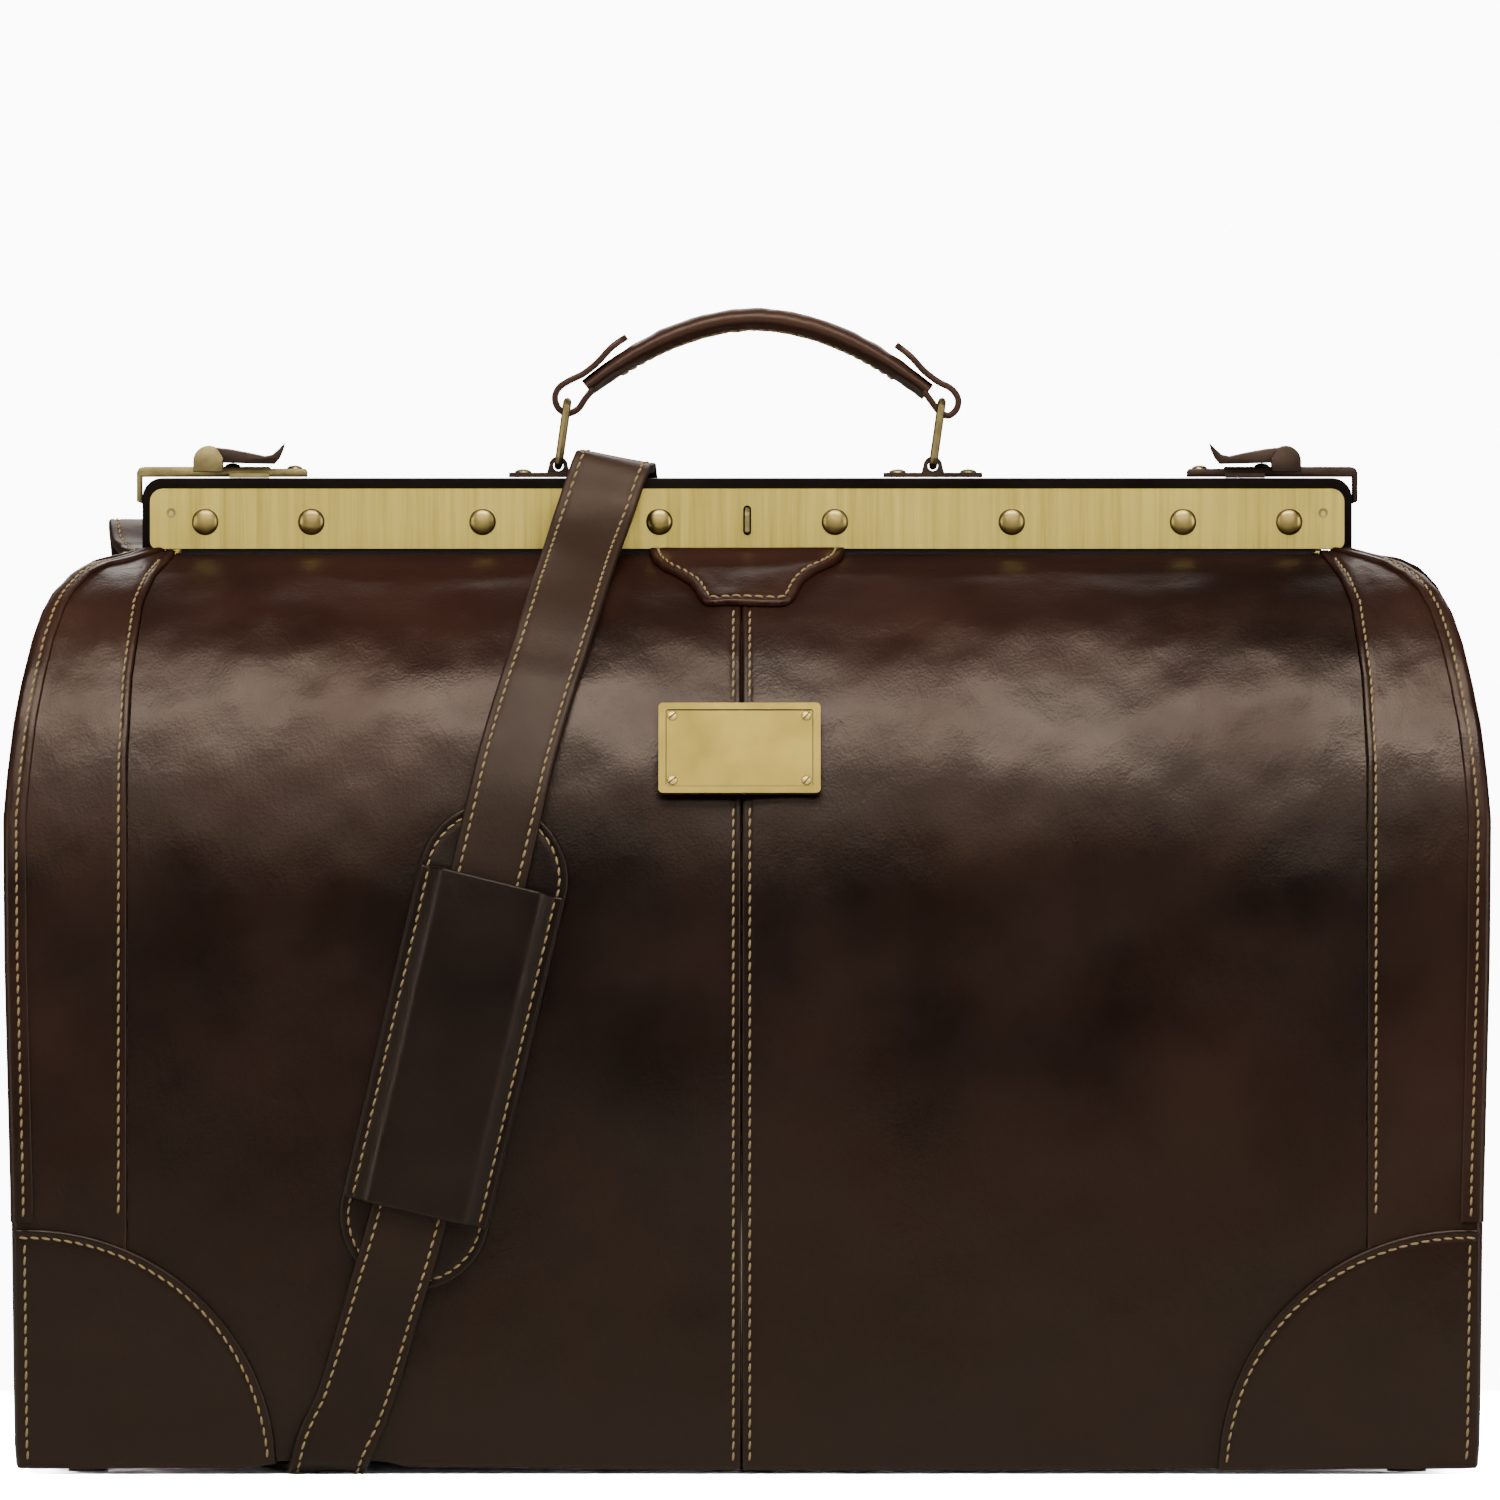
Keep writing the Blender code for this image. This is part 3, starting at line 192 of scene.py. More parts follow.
# ---------------------------------------------------------------- materials
class Nodes:
    """A material's node tree with short ways to add and join nodes."""

    def __init__(self, name):
        self.material = bpy.data.materials.new(name)
        self.material.use_nodes = True
        self.tree = self.material.node_tree
        self.shader = self.tree.nodes["Principled BSDF"]
        self.place = self.tree.nodes.new("ShaderNodeTexCoord").outputs["Object"]

    def add(self, kind, values=None, **settings):
        return add_node(self.tree, kind, values, **settings)

    def set(self, **values):
        for key, value in values.items():
            feed(self.tree, self.shader.inputs[key.replace("_", " ")], value)

    def noise(self, scale, detail=3.0, rough=0.55, stretch=None, distortion=0.0):
        place = self.place
        if stretch:
            place = self.add("ShaderNodeMapping", {"Vector": place, "Scale": stretch}).outputs[0]
        values = {"Vector": place, "Scale": scale, "Detail": detail}
        values.update({"Roughness": rough, "Distortion": distortion})
        return self.add("ShaderNodeTexNoise", values).outputs["Fac"]

    def ramp(self, fac, *stops):
        node = self.add("ShaderNodeValToRGB", {"Fac": fac})
        for element, (place, colour) in zip(node.color_ramp.elements, stops):
            element.position = place
            element.color = (*colour, 1)
        return node.outputs["Color"]

    def span(self, fac, low, high, to_low, to_high):
        values = {"Value": fac, "From Min": low, "From Max": high}
        values.update({"To Min": to_low, "To Max": to_high})
        return self.add("ShaderNodeMapRange", values).outputs["Result"]

    def mix(self, fac, a, b):
        node = self.add("ShaderNodeMix", data_type="RGBA")
        for index, value in ((0, fac), (6, a), (7, b)):
            ready = isinstance(value, (int, float, bpy.types.NodeSocket))
            feed(self.tree, node.inputs[index], value if ready else (*value, 1))
        return node.outputs[2]

    def bump(self, height, distance, strength=1.0, normal=None):
        values = {"Height": height, "Distance": distance, "Strength": strength}
        if normal is not None:
            values["Normal"] = normal
        return self.add("ShaderNodeBump", values).outputs["Normal"]


def leather(name, dark, warm, light, rough=(0.30, 0.44), grain=1.0, shine=0.30):
    """Waxed hide: cloudy colour from dark to warm, fine pores and soft creases, with painted
    lighting by height.
    """
    n = Nodes(name)
    cloud = n.noise(5.5, 3.0, 0.6)
    colour = n.ramp(cloud, (0.38, dark), (0.64, warm))
    high = n.add("ShaderNodeSeparateXYZ", {"Vector": n.place}).outputs["Z"]
    # Painted lighting: below 0.15 m the colour moves towards the third tone. This is painted floor
    # bounce on the hide and band (lighter) and painted shade on the strap (darker).
    colour = n.mix(n.span(high, 0.15, 0.05, 0.0, 0.9), colour, light)
    # Brighter warm tint over the upper wall, broken up by the cloud noise. It is partly the hide's
    # red mottling and partly a painted highlight where the top light falls on the shoulder.
    upper_sheen_zone = n.span(high, 0.20, 0.30, 0.0, 1.0)
    cloudy = n.span(cloud, 0.4, 0.6, 0.2, 0.9)
    tint_and_sheen = n.add("ShaderNodeMath", {0: upper_sheen_zone, 1: cloudy}, operation="MULTIPLY")
    colour = n.mix(tint_and_sheen.outputs[0], colour, [c * 1.9 for c in warm])
    colour = n.mix(n.span(n.noise(38, 4, 0.6), 0.4, 0.75, 0.0, 0.4), colour, warm)
    creases = n.noise(120, 5, 0.62, (1.0, 1.0, 0.42), 0.5)
    pores = n.add("ShaderNodeTexVoronoi", {"Vector": n.place, "Scale": 900.0}).outputs["Distance"]
    normal = n.bump(creases, 0.0006 * grain, 0.5)
    normal = n.bump(pores, 0.00010 * grain, 0.45, normal)
    roughness = n.span(n.noise(22, 4, 0.6), 0.3, 0.7, rough[0], rough[1])
    n.set(Base_Color=colour, Roughness=roughness, Normal=normal)
    n.shader.inputs["Specular IOR Level"].default_value = shine
    n.shader.inputs["Specular Tint"].default_value = (1.0, 0.80, 0.66, 1)
    return n.material


def metal(name, pale, deep, rough=0.30, brushed=None, blotch=0.5):
    """Brass with brushed lines or none, and darker patina in patches."""
    n = Nodes(name)
    patches = n.span(n.noise(14 if brushed else 60, 4, 0.6), 0.40, 0.72, 0.0, blotch)
    colour = n.mix(patches, pale, deep)
    if brushed:
        lines = n.noise(16, 4, 0.75, brushed)
        colour = n.mix(n.span(lines, 0.42, 0.70, 0.0, 0.55), colour, deep)
        normal = n.bump(lines, 0.00010, 0.35)
    else:
        normal = n.bump(n.noise(420, 3, 0.6), 0.00006, 0.5)
    roughness = n.span(n.noise(55, 4, 0.6), 0.3, 0.7, rough - 0.05, rough + 0.12)
    n.set(Base_Color=colour, Metallic=1.0, Roughness=roughness, Normal=normal)
    return n.material


def plain(name, colour, rough, bump_scale=300, depth=0.0001, metallic=0.0):
    """A simple surface with a fine texture."""
    n = Nodes(name)
    fine = n.noise(bump_scale, 4, 0.6)
    shade = n.mix(n.span(fine, 0.35, 0.7, 0.0, 0.35), colour, [c * 0.6 for c in colour])
    n.set(Base_Color=shade, Roughness=rough, Metallic=metallic)
    n.set(Normal=n.bump(fine, depth, 0.6))
    return n.material


def make_materials():
    """Every surface of the bag, by name."""
    # The third tone of each leather is painted lighting at the bottom of the bag. It is painted
    # floor bounce on the hide and band (lighter) and painted shade on the strap (darker).
    hide = ((0.0020, 0.0009, 0.0007), (0.0150, 0.0050, 0.0030), (0.0110, 0.0070, 0.0042))
    band = ((0.0035, 0.0014, 0.0010), (0.0220, 0.0078, 0.0046), (0.0120, 0.0072, 0.0042))
    strap = ((0.0105, 0.0060, 0.0041), (0.0215, 0.0122, 0.0081), (0.0088, 0.0058, 0.0036))
    pad = ((0.0022, 0.0011, 0.0009), (0.0080, 0.0034, 0.0022), (0.0050, 0.0030, 0.0020))
    grip = ((0.0120, 0.0055, 0.0036), (0.0270, 0.0115, 0.0070), (0.0120, 0.0070, 0.0045))
    bar = ((0.0012, 0.0010, 0.0009), (0.0022, 0.0018, 0.0015), (0.0015, 0.0012, 0.0010))
    brushed = (14.0, 1.0, 0.35)
    # Dark bronze: worn by the handle base, and used as painted shade on the feet, the right latch
    # and both latch blades.
    bronze_and_shade = ((0.050, 0.034, 0.026), (0.016, 0.012, 0.010))
    return {
        "hide": leather("hide", *hide),
        "band": leather("band_hide", *band),
        "strap": leather("strap_hide", *strap, (0.42, 0.58), 0.8, 0.25),
        "pad": leather("pad_hide", *pad, (0.34, 0.48), 0.9, 0.30),
        "grip": leather("grip_hide", *grip, (0.36, 0.50), 0.7, 0.35),
        "bar": leather("bar_cover", *bar, (0.26, 0.40), 0.5, 0.25),
        "edge": plain("cut_edge", (0.006, 0.0035, 0.0025), 0.6, 500),
        "thread": plain("thread", (0.26, 0.185, 0.080), 0.8, 2500, 0.00012),
        "brass": metal("satin_brass", (0.60, 0.49, 0.12), (0.26, 0.19, 0.035), 0.33, brushed, 0.25),
        "plate": metal("plate_brass", (0.20, 0.150, 0.034), (0.15, 0.108, 0.022), 0.42, None, 0.3),
        "rivet": metal("rivet_brass", (0.36, 0.28, 0.09), (0.16, 0.12, 0.04), 0.32, None, 0.6),
        "aged": metal("aged_brass", (0.30, 0.24, 0.10), (0.08, 0.062, 0.03), 0.34, None, 0.9),
        "bronze_and_shade": metal("dark_bronze_and_shade", *bronze_and_shade, 0.36, None, 0.8),
        "steel": plain("dark_steel", (0.02, 0.019, 0.018), 0.4, 300, 0.00005, 1.0),
        "board": plain("fibre_board", (0.16, 0.13, 0.10), 0.85, 180, 0.0002),
        "lining": plain("lining_cloth", (0.30, 0.22, 0.13), 0.9, 900, 0.0002),
    }


# ---------------------------------------------------------------- the bag's surface
def wall_line():
    """The wall's section: length so far, y, z and outward normal."""
    z_low = np.linspace(BASE_Z, SHOULDER_Z, 80)
    share = np.linspace(0, 1, 80)
    y_low = np.interp(z_low, WALL_Z, WALL_Y)
    soft = np.polynomial.Polynomial.fit(share, y_low, 5)
    y_low = y_low[0] * (1 - share) + y_low[-1] * share + soft(share) - (
        soft(0) * (1 - share) + soft(1) * share
    )
    turn = np.radians(np.linspace(0, 90, 121))[1:]
    y = np.r_[y_low, MOUTH_Y + (WALL_Y[-1] - MOUTH_Y) * np.cos(turn)]
    z = np.r_[z_low, SHOULDER_Z + SHOULDER_RISE * np.sin(turn)]
    length = np.r_[0, np.cumsum(np.hypot(np.diff(y), np.diff(z)))]
    ty, tz = np.gradient(y, length), np.gradient(z, length)
    size = np.hypot(ty, tz)
    return length, y, z, tz / size, -ty / size


WALL = wall_line()
WALL_TOP = WALL[0][-1]


def length_at(z):
    return np.interp(z, WALL[2], WALL[0])


def height_of(s):
    return np.interp(s, WALL[0], WALL[2])


def waves(seed, count, low, high):
    """Seeded smooth undulation over (x, s): wave directions, sizes and phases."""
    draw = np.random.RandomState(seed)
    size = np.exp(draw.uniform(math.log(low), math.log(high), count))
    way = draw.uniform(0, 2 * math.pi, count)
    return size, way, draw.uniform(0, 2 * math.pi, count)


BROAD = waves(7, 28, 0.07, 0.22)
MIDDLE = waves(11, 60, 0.016, 0.05)
FINE = waves(23, 80, 0.006, 0.014)


def ripple(kit, x, s):
    """The undulation's height, about -1 to 1."""
    size, way, phase = kit
    out = np.zeros(np.broadcast(x, s).shape)
    for length, turn, start in zip(size, way, phase):
        out += np.sin(2 * math.pi / length * (x * math.cos(turn) + s * math.sin(turn)) + start)
    return out / math.sqrt(len(size))


def drape(face, x, s):
    """How far the hide stands off its even shape: broad dents and shoulder creases."""
    x = x + face * 0.7
    broad = 0.85 * MM * ripple(BROAD, x, s)
    shoulder = np.exp(-(((s - 0.30) / 0.09) ** 2))
    middle = (0.10 + 0.20 * shoulder) * MM * ripple(MIDDLE, x, s * 0.8)
    fine = (0.02 + 0.055 * shoulder) * MM * ripple(FINE, x * 1.1, s * 0.7)
    ends = np.clip(s / 0.02, 0, 1) * np.clip((WALL_TOP - s) / 0.03, 0, 1)
    return (broad + middle + fine) * ends


def wall(face, x, s, rise):
    """Points over the front (face 1) or back (face -1) wall; x as seen from outside.

    The lower edge sags, most in the middle, and stays clear of the strap under the base.
    """
    y, z, ny, nz = (np.interp(s, WALL[0], w) for w in WALL[1:])
    lift = rise + drape(face, x, s)
    y, z = y + ny * lift, z + nz * lift
    low = np.clip(1 - s / SAG_REACH, 0, 1) ** 2
    middle = np.exp(-(((x - 0.05) / 0.14) ** 4))
    clear = 1 - np.exp(-(((face * x + STRAP_UNDER_X[face]) / STRAP_CLEAR) ** 6))
    z = z - (SAG + SAG_MIDDLE * middle) * MM * low * clear
    x, y, z = np.broadcast_arrays(x, y, z)
    return np.stack([face * x, -face * y, z], -1)


def wall_normal(face, x, s):
    """Outward normals of the wall."""
    ny, nz = (np.interp(s, WALL[0], w) for w in WALL[3:])
    x, ny, nz = np.broadcast_arrays(x, ny, nz)
    return np.stack([0 * x, -face * ny, nz], -1)


def half_width(z):
    return np.interp(z, WIDTH_Z, WIDTH_X)


def band_edge(z):
    return np.interp(z, BAND_Z, BAND_X)


# ---------------------------------------------------------------- mesh makers
def show(name, mesh, paint, sharp):
    """A mesh as an object in the scene, with its finish and its sharp edges."""
    mesh.materials.append(paint)
    mesh.polygons.foreach_set("use_smooth", [True] * len(mesh.polygons))
    mesh.set_sharp_from_angle(angle=math.radians(sharp))
    item = bpy.data.objects.new(name, mesh)
    bpy.context.scene.collection.objects.link(item)
    return item


def finished(name, points, faces, paint):
    """An object made of points and faces."""
    mesh = bpy.data.meshes.new(name)
    mesh.from_pydata([tuple(p) for p in points], [], faces)
    mesh.update()
    return show(name, mesh, paint, 48)


def tube_faces(rows, ring, start=0):
    """Quads round a tube made of rings of points, both ends closed."""
    faces = []
    for row in range(rows - 1):
        for k in range(ring):
            a, b = start + row * ring + k, start + row * ring + (k + 1) % ring
            faces.append([a, b, b + ring, a + ring])
    faces.append([start + k for k in range(ring)][::-1])
    faces.append([start + (rows - 1) * ring + k for k in range(ring)])
    return faces


def grid_faces(rows, columns, start=0, flip=False):
    """Quads over a grid of points."""
    r, c = np.meshgrid(np.arange(rows - 1), np.arange(columns - 1), indexing="ij")
    a = start + (r * columns + c).ravel()
    quads = np.stack([a, a + 1, a + columns + 1, a + columns], -1)
    return (quads[:, ::-1] if flip else quads).tolist()


def shell(name, outer, inner, paint):
    """A closed skin between an outer and an inner grid of points."""
    rows, columns = outer.shape[:2]
    count = rows * columns
    points = np.concatenate([outer.reshape(-1, 3), inner.reshape(-1, 3)])
    faces = grid_faces(rows, columns) + grid_faces(rows, columns, count, True)
    index = np.arange(count).reshape(rows, columns)
    rim = np.concatenate([index[0], index[1:, -1], index[-1, -2::-1], index[-2:0:-1, 0]])
    for a, b in zip(rim, np.roll(rim, -1)):
        faces.append([int(b), int(a), int(a + count), int(b + count)])
    return finished(name, points, faces, paint)


def lay(low, high, near_low, near_high, middle):
    """Positions from low to high (arrays over rows): fine by the edges, even between."""
    low, high = np.asarray(low, float)[:, None], np.asarray(high, float)[:, None]
    a = np.array(near_low)[None, :] * MM
    b = np.array(near_high)[None, ::-1] * MM
    t = np.linspace(0, 1, middle)[None, :]
    first = low + a[:, -1:] if a.size else low
    last = high - b[:, :1] if b.size else high
    parts = [low + a[:, :-1]] if a.size else []
    parts += [first + t * (last - first)]
    parts += [high - b[:, 1:]] if b.size else []
    return np.concatenate(parts, 1)


def round_off(edge, radius):
    """How far a cut edge's rounding lowers the face at a distance from the edge."""
    inside = np.clip(radius - edge, 0, radius)
    return radius - np.sqrt(np.maximum(radius * radius - inside * inside, 0))


def seat(edge, line, depth=0.35 * MM, width=0.8 * MM):
    """The dent that a row of stitches pulls into the face."""
    return depth * np.exp(-(((edge - line) / width) ** 2))


EDGE = (0, 0.12, 0.35, 0.7, 1.1, 1.6, 2.1, 2.6, 3.1, 3.6, 4.4, 5.6)


def fold(item):
    """Bake a leather piece's placement into its mesh."""
    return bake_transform(item)


def stitch_row(name, points, normals, paint, pitch=STITCH_PITCH, slant=0.12):
    """A row of thread stitches along a line of points: one small bead per stitch."""
    points, normals = np.asarray(points, float), np.asarray(normals, float)
    gap = np.linalg.norm(np.diff(points, axis=0), axis=1)
    run = np.r_[0, np.cumsum(gap)]
    count = max(int(run[-1] / pitch), 1)
    at = (np.arange(count) + 0.5) * run[-1] / count
    half = 0.5 * STITCH_LENGTH * (run[-1] / count) / pitch

    def sample(values, where):
        return np.stack([np.interp(where, run, values[:, i]) for i in range(3)], -1)

    middle = sample(points, at)
    along = sample(points, at + half) - sample(points, at - half)
    along /= np.linalg.norm(along, axis=1)[:, None]
    up = sample(normals, at)
    up -= along * np.sum(up * along, 1)[:, None]
    up /= np.linalg.norm(up, axis=1)[:, None]
    side = np.cross(along, up)
    along = along * math.cos(slant) + side * math.sin(slant)
    side = np.cross(along, up)
    places = (-1.0, -0.82, -0.4, 0.0, 0.4, 0.82, 1.0)
    wide = (0.12, 0.62, 0.95, 1.0, 0.95, 0.62, 0.12)
    sink = (-0.55, -0.22, 0.0, 0.06, 0.0, -0.22, -0.55)
    radius, ring = 0.44 * MM, 6
    verts, faces = [], []
    for k in range(len(middle)):
        faces += tube_faces(len(places), ring, len(verts))
        for place, width, low in zip(places, wide, sink):
            centre = middle[k] + along[k] * half * place + up[k] * low * 0.5 * MM
            for j in range(ring):
                t = 2 * math.pi * j / ring
                out = side[k] * radius * width * math.cos(t)
                verts.append(centre + out + up[k] * radius * width * math.sin(t))
    return finished(name, verts, faces, paint)


# ---------------------------------------------------------------- wall leather
def wall_piece(name, face, limits, heights, rise, thick, count, paint, rims, seams=(), edge=None):
    """Hide over a wall: rims are the roundings left, right, low, high; seams pull it in."""
    low, high = limits
    z_low, z_high = heights
    columns, rows = count
    ends = (length_at(z_low), length_at(z_high))
    near = [EDGE if r else (0,) for r in rims]
    s = lay([ends[0]], [ends[1]], near[2], near[3], rows)[0]
    z = height_of(s)
    x = lay(low(z), high(z), near[0], near[1], columns)
    s = s[:, None] + 0 * x
    edges = (x - low(z)[:, None], high(z)[:, None] - x, s - ends[0], ends[1] - s)
    drop = np.zeros(x.shape)
    for radius, away in zip(rims, edges):
        if radius:
            drop = np.maximum(drop, round_off(away, radius))
    for side, line in seams:
        drop = drop + seat(edges[side], line)
    if edge is not None:
        drop = np.maximum(round_off(edge(x, s), 1.0 * MM), drop) + seat(edge(x, s), SEAM_IN)
    outer = wall(face, x, s, rise - drop)
    inner = wall(face, x, s, rise - thick)
    return shell(name, outer, inner, paint)


def wall_stitches(name, face, x_at, z_low, z_high, rise, paint):
    """Stitches up a wall where x follows the height."""
    s = np.linspace(length_at(z_low), length_at(z_high), 300)
    x = x_at(height_of(s))
    points = wall(face, x, s, rise - THREAD_SINK)
    return stitch_row(name, points, wall_normal(face, x, s), paint)


def make_panels(paints):
    """Front halves either side of the stitched centre seam, and the one-piece back."""
    hide, thread = paints["hide"], paints["thread"]
    rim, sewn, gap = 1.1 * MM, 2.8 * MM, 0.15 * MM

    def seam(shift):
        return lambda z: 0 * z + SEAM_X + shift

    def left(z):
        return -band_edge(z) + 0.4 * MM

    def right(z):
        return band_edge(z) - 0.4 * MM

    span = ((BASE_Z, MOUTH_Z), 0.0, 2.0 * MM, (70, 150), hide)
    halves = (
        ("left", (left, seam(-gap)), (0, rim, 0, 0), 1),
        ("right", (seam(gap), right), (rim, 0, 0, 0), 0),
    )
    for hand, limits, rims, side in halves:
        item = wall_piece(f"front_hide_{hand}", 1, limits, *span, rims, ((side, sewn),))
        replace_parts(fold(item), f"front_panel_{hand}")
    item = wall_piece("back_hide", -1, (left, right), *span, (0, 0, 0, 0))
    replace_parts(fold(item), "back_panel")
    for shift, name in ((-2.9 * MM, "left"), (2.9 * MM, "right")):
        for low, high, part in ((0.007, 0.2345, "low"), (0.273, 0.303, "high")):
            name_row = f"centre_stitches_{part}_{name}"
            fold(wall_stitches(name_row, 1, seam(shift), low, high, 0.0, thread))


BINDING = 7.6 * MM
ENDS, HANDS = ((1, "front"), (-1, "rear")), ((-1, "left"), (1, "right"))
CORNERS = [(face, side * face, f"{end}_{hand}") for face, end in ENDS for side, hand in HANDS]


def ordered(turned, inner, outer):
    """Inner and outer in order of x, on the side of the wall that turned says."""
    return (inner, outer) if turned > 0 else (outer, inner)


def side_line(turned, edge, shift):
    """A line up one side of a wall: an edge's distance from the middle, moved by shift."""
    return lambda z: turned * (edge(z) + shift)


def make_bands(paints):
    """Raised side bands with a stitched inner edge and a bound outer edge."""
    band, thread = paints["band"], paints["thread"]
    for face, turned, name in CORNERS:
        near, far = ordered(turned, 0, 1)
        inner, outer = (side_line(turned, band_edge, 0.0), side_line(turned, half_width, 0.2 * MM))
        limits, rims = ordered(turned, inner, outer), ordered(turned, 1.1 * MM, 3.0 * MM)
        shape = ((BASE_Z, MOUTH_Z), BAND_LIFT, 3.4 * MM, (18, 150), band, (*rims, 0, 0))
        item = wall_piece(f"band_{name}", face, limits, *shape, ((near, SEAM_IN),))
        fold(item)
        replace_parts(item, f"side_band_{name}")
        inner = side_line(turned, half_width, -BINDING)
        outer = side_line(turned, half_width, 0.6 * MM)
        limits, rims = ordered(turned, inner, outer), ordered(turned, 0.9 * MM, 2.6 * MM)
        shape = ((0.0885, MOUTH_Z), BINDING_LIFT, 2.8 * MM, (5, 150), band, (*rims, 0, 0))
        item = wall_piece(f"binding_{name}", face, limits, *shape, ((far, 4.6 * MM),))
        fold(item)
        rows = (
            ("band", side_line(turned, band_edge, SEAM_IN), 0.091, 0.3195, BAND_LIFT),
            ("edge", side_line(turned, half_width, -4.0 * MM), 0.090, 0.3185, BINDING_LIFT),
        )
        for part, line, low, high, rise in rows:
            row_name = f"{part}_stitches_{name}"
            fold(wall_stitches(row_name, face, line, low, high, rise, thread))


PATCH_X = 253.3 * MM


def patch_inside(x, s):
    """How far inside a corner patch's round edge a point lies."""
    z = height_of(s)
    across = np.maximum(PATCH_X - np.abs(x), 0) / PATCH_RUN
    return (1 - np.hypot(across, z / PATCH_RISE)) * 87 * MM


def make_patches(paints):
    """Quarter-round patches over the lower corners, stitched along the curve."""
    thread, rim = paints["thread"], 0.01 * MM

    def reach(z):
        share = np.clip(z / PATCH_RISE, 0, 1)
        return PATCH_X - PATCH_RUN * np.sqrt(1 - share * share)

    for face, turned, name in CORNERS:
        inner = side_line(turned, reach, 0.0)
        limits = ordered(turned, inner, side_line(turned, half_width, -0.3 * MM))
        rims = (*ordered(turned, rim, 1.6 * MM), 0, rim)
        heights = (BASE_Z, PATCH_RISE - 0.3 * MM)
        shape = (heights, PATCH_LIFT, 1.8 * MM, (30, 60), paints["hide"], rims)
        seams = ((1 if turned > 0 else 0, 4.0 * MM),)
        item = wall_piece(f"patch_{name}", face, limits, *shape, seams, patch_inside)
        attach(item, "bag_body")
        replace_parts(item, f"corner_patch_{name}")
        turn = np.linspace(0.08, math.pi / 2, 120)
        x = np.r_[PATCH_X - (PATCH_RUN - SEAM_IN) * np.cos(turn), PATCH_X + SEAM_IN]
        z = np.r_[(PATCH_RISE - SEAM_IN) * np.sin(turn), PATCH_RISE - SEAM_IN]
        s = length_at(z)
        points = wall(face, turned * x, s, PATCH_LIFT - THREAD_SINK)
        normals = wall_normal(face, turned * x, s)
        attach(stitch_row(f"patch_stitches_{name}", points, normals, thread), "bag_body")
        edge = side_line(turned, half_width, -4.3 * MM)
        row_name = f"patch_edge_stitches_{name}"
        row = wall_stitches(row_name, face, edge, 0.007, 0.081, PATCH_LIFT, thread)
        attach(row, "bag_body")


TAB_Z = (0.3040, 0.3043, 0.3053, 0.3072, 0.3095, 0.3120, 0.3145, 0.3170, 0.3195, 0.3222)
TAB_X = (0.0118, 0.0138, 0.0157, 0.0172, 0.0182, 0.0200, 0.0240, 0.0295, 0.0332, 0.0347)
TAB_TOP = 0.32195


def make_tab(paints):
    """Shaped tongue under the middle of the frame with a rolled edge and stitches."""
    line_s = np.linspace(length_at(TAB_Z[0]), length_at(TAB_Z[-1]), 160)
    line_x = np.interp(height_of(line_s), TAB_Z, TAB_X)
    flat = np.linspace(0, TAB_X[0], 40)
    ring_x = np.r_[flat, line_x]
    ring_s = np.r_[flat * 0 + line_s[0], line_s]

    def inside(x, s):
        return np.hypot(np.abs(x)[..., None] - ring_x, s[..., None] - ring_s).min(-1)

    def edge(z):
        return np.interp(z, TAB_Z, TAB_X)

    limits, rim = (lambda z: -edge(z), edge), 0.01 * MM
    shape = ((TAB_Z[0], TAB_TOP), TAB_LIFT, 2.0 * MM, (60, 60), paints["band"])
    item = wall_piece("tab_hide", 1, limits, *shape, (rim, rim, rim, 0), (), inside)
    fold(item)
    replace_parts(item, "front_tab")
    x, s = ring_x[::-1], ring_s[::-1]
    x, s = np.r_[x, -ring_x[1:]], np.r_[s, ring_s[1:]]
    dx, ds = np.gradient(x), np.gradient(s)
    size = np.hypot(dx, ds)
    x, s = x + ds / size * SEAM_IN, s - dx / size * SEAM_IN
    keep = s < WALL_TOP - 0.6 * MM
    x, s = x[keep], s[keep]
    soft = np.ones(9) / 9
    x = np.r_[x[:4], np.convolve(x, soft, "valid"), x[-4:]]
    s = np.r_[s[:4], np.convolve(s, soft, "valid"), s[-4:]]
    points = wall(1, x, s, TAB_LIFT - 0.1 * MM)
    row = stitch_row("tab_stitches", points, wall_normal(1, x, s), paints["thread"])
    fold(row)


# ---------------------------------------------------------------- ends and lining
def gusset_grid(side, face, rise, rows=120, columns=26):
    """Half of an end wall, pinched in at the hinge line, as points."""
    s = np.linspace(length_at(BASE_Z + 3 * MM), WALL_TOP, rows)
    y, z, ny, nz = (np.interp(s, WALL[0], w) for w in WALL[1:])
    out = half_width(z) - 1.5 * MM
    pinch = np.clip((z - 0.150) / (HINGE_Z - 0.150), 0, 1)
    pinch = pinch * pinch * (3 - 2 * pinch)
    reach, height = y - 2.4 * MM * ny, z - 2.4 * MM * nz
    low = np.interp(z, (HINGE_Z + 6 * MM, HINGE_Z + 16 * MM), (0.0, 0.4 * MM))
    t = np.linspace(0, 1, columns)[None, :]
    across = low[:, None] + t * (reach - low)[:, None]
    share = 0.5 + 0.5 * np.cos(math.pi * np.clip(across / reach[:, None], 0, 1))
    x = out[:, None] - (out - 0.2117)[:, None] * pinch[:, None] * share
    wrinkle = 0.55 * MM * ripple(MIDDLE, across + side * 0.31, s[:, None] * 0.9)
    wrinkle += 0.10 * MM * ripple(FINE, across * 1.2, s[:, None])
    x = x + rise + wrinkle * np.sin(math.pi * t) * 0.8
    points = np.stack([side * x, -face * across, height[:, None] + 0 * x], -1)
    return points if side * face > 0 else points[:, ::-1]


def make_ends(paints):
    """Folding end walls, in a front and a rear half each."""
    for side, hand in ((-1, "left"), (1, "right")):
        for face, end in ((1, "front"), (-1, "rear")):
            outer = gusset_grid(side, face, 0.0)[:, ::-1]
            inner = gusset_grid(side, face, -2.0 * MM)[:, ::-1]
            item = shell(f"gusset_{hand}_{end}", outer, inner, paints["hide"])
            fold(item)
            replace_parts(item, f"gusset_{hand}")


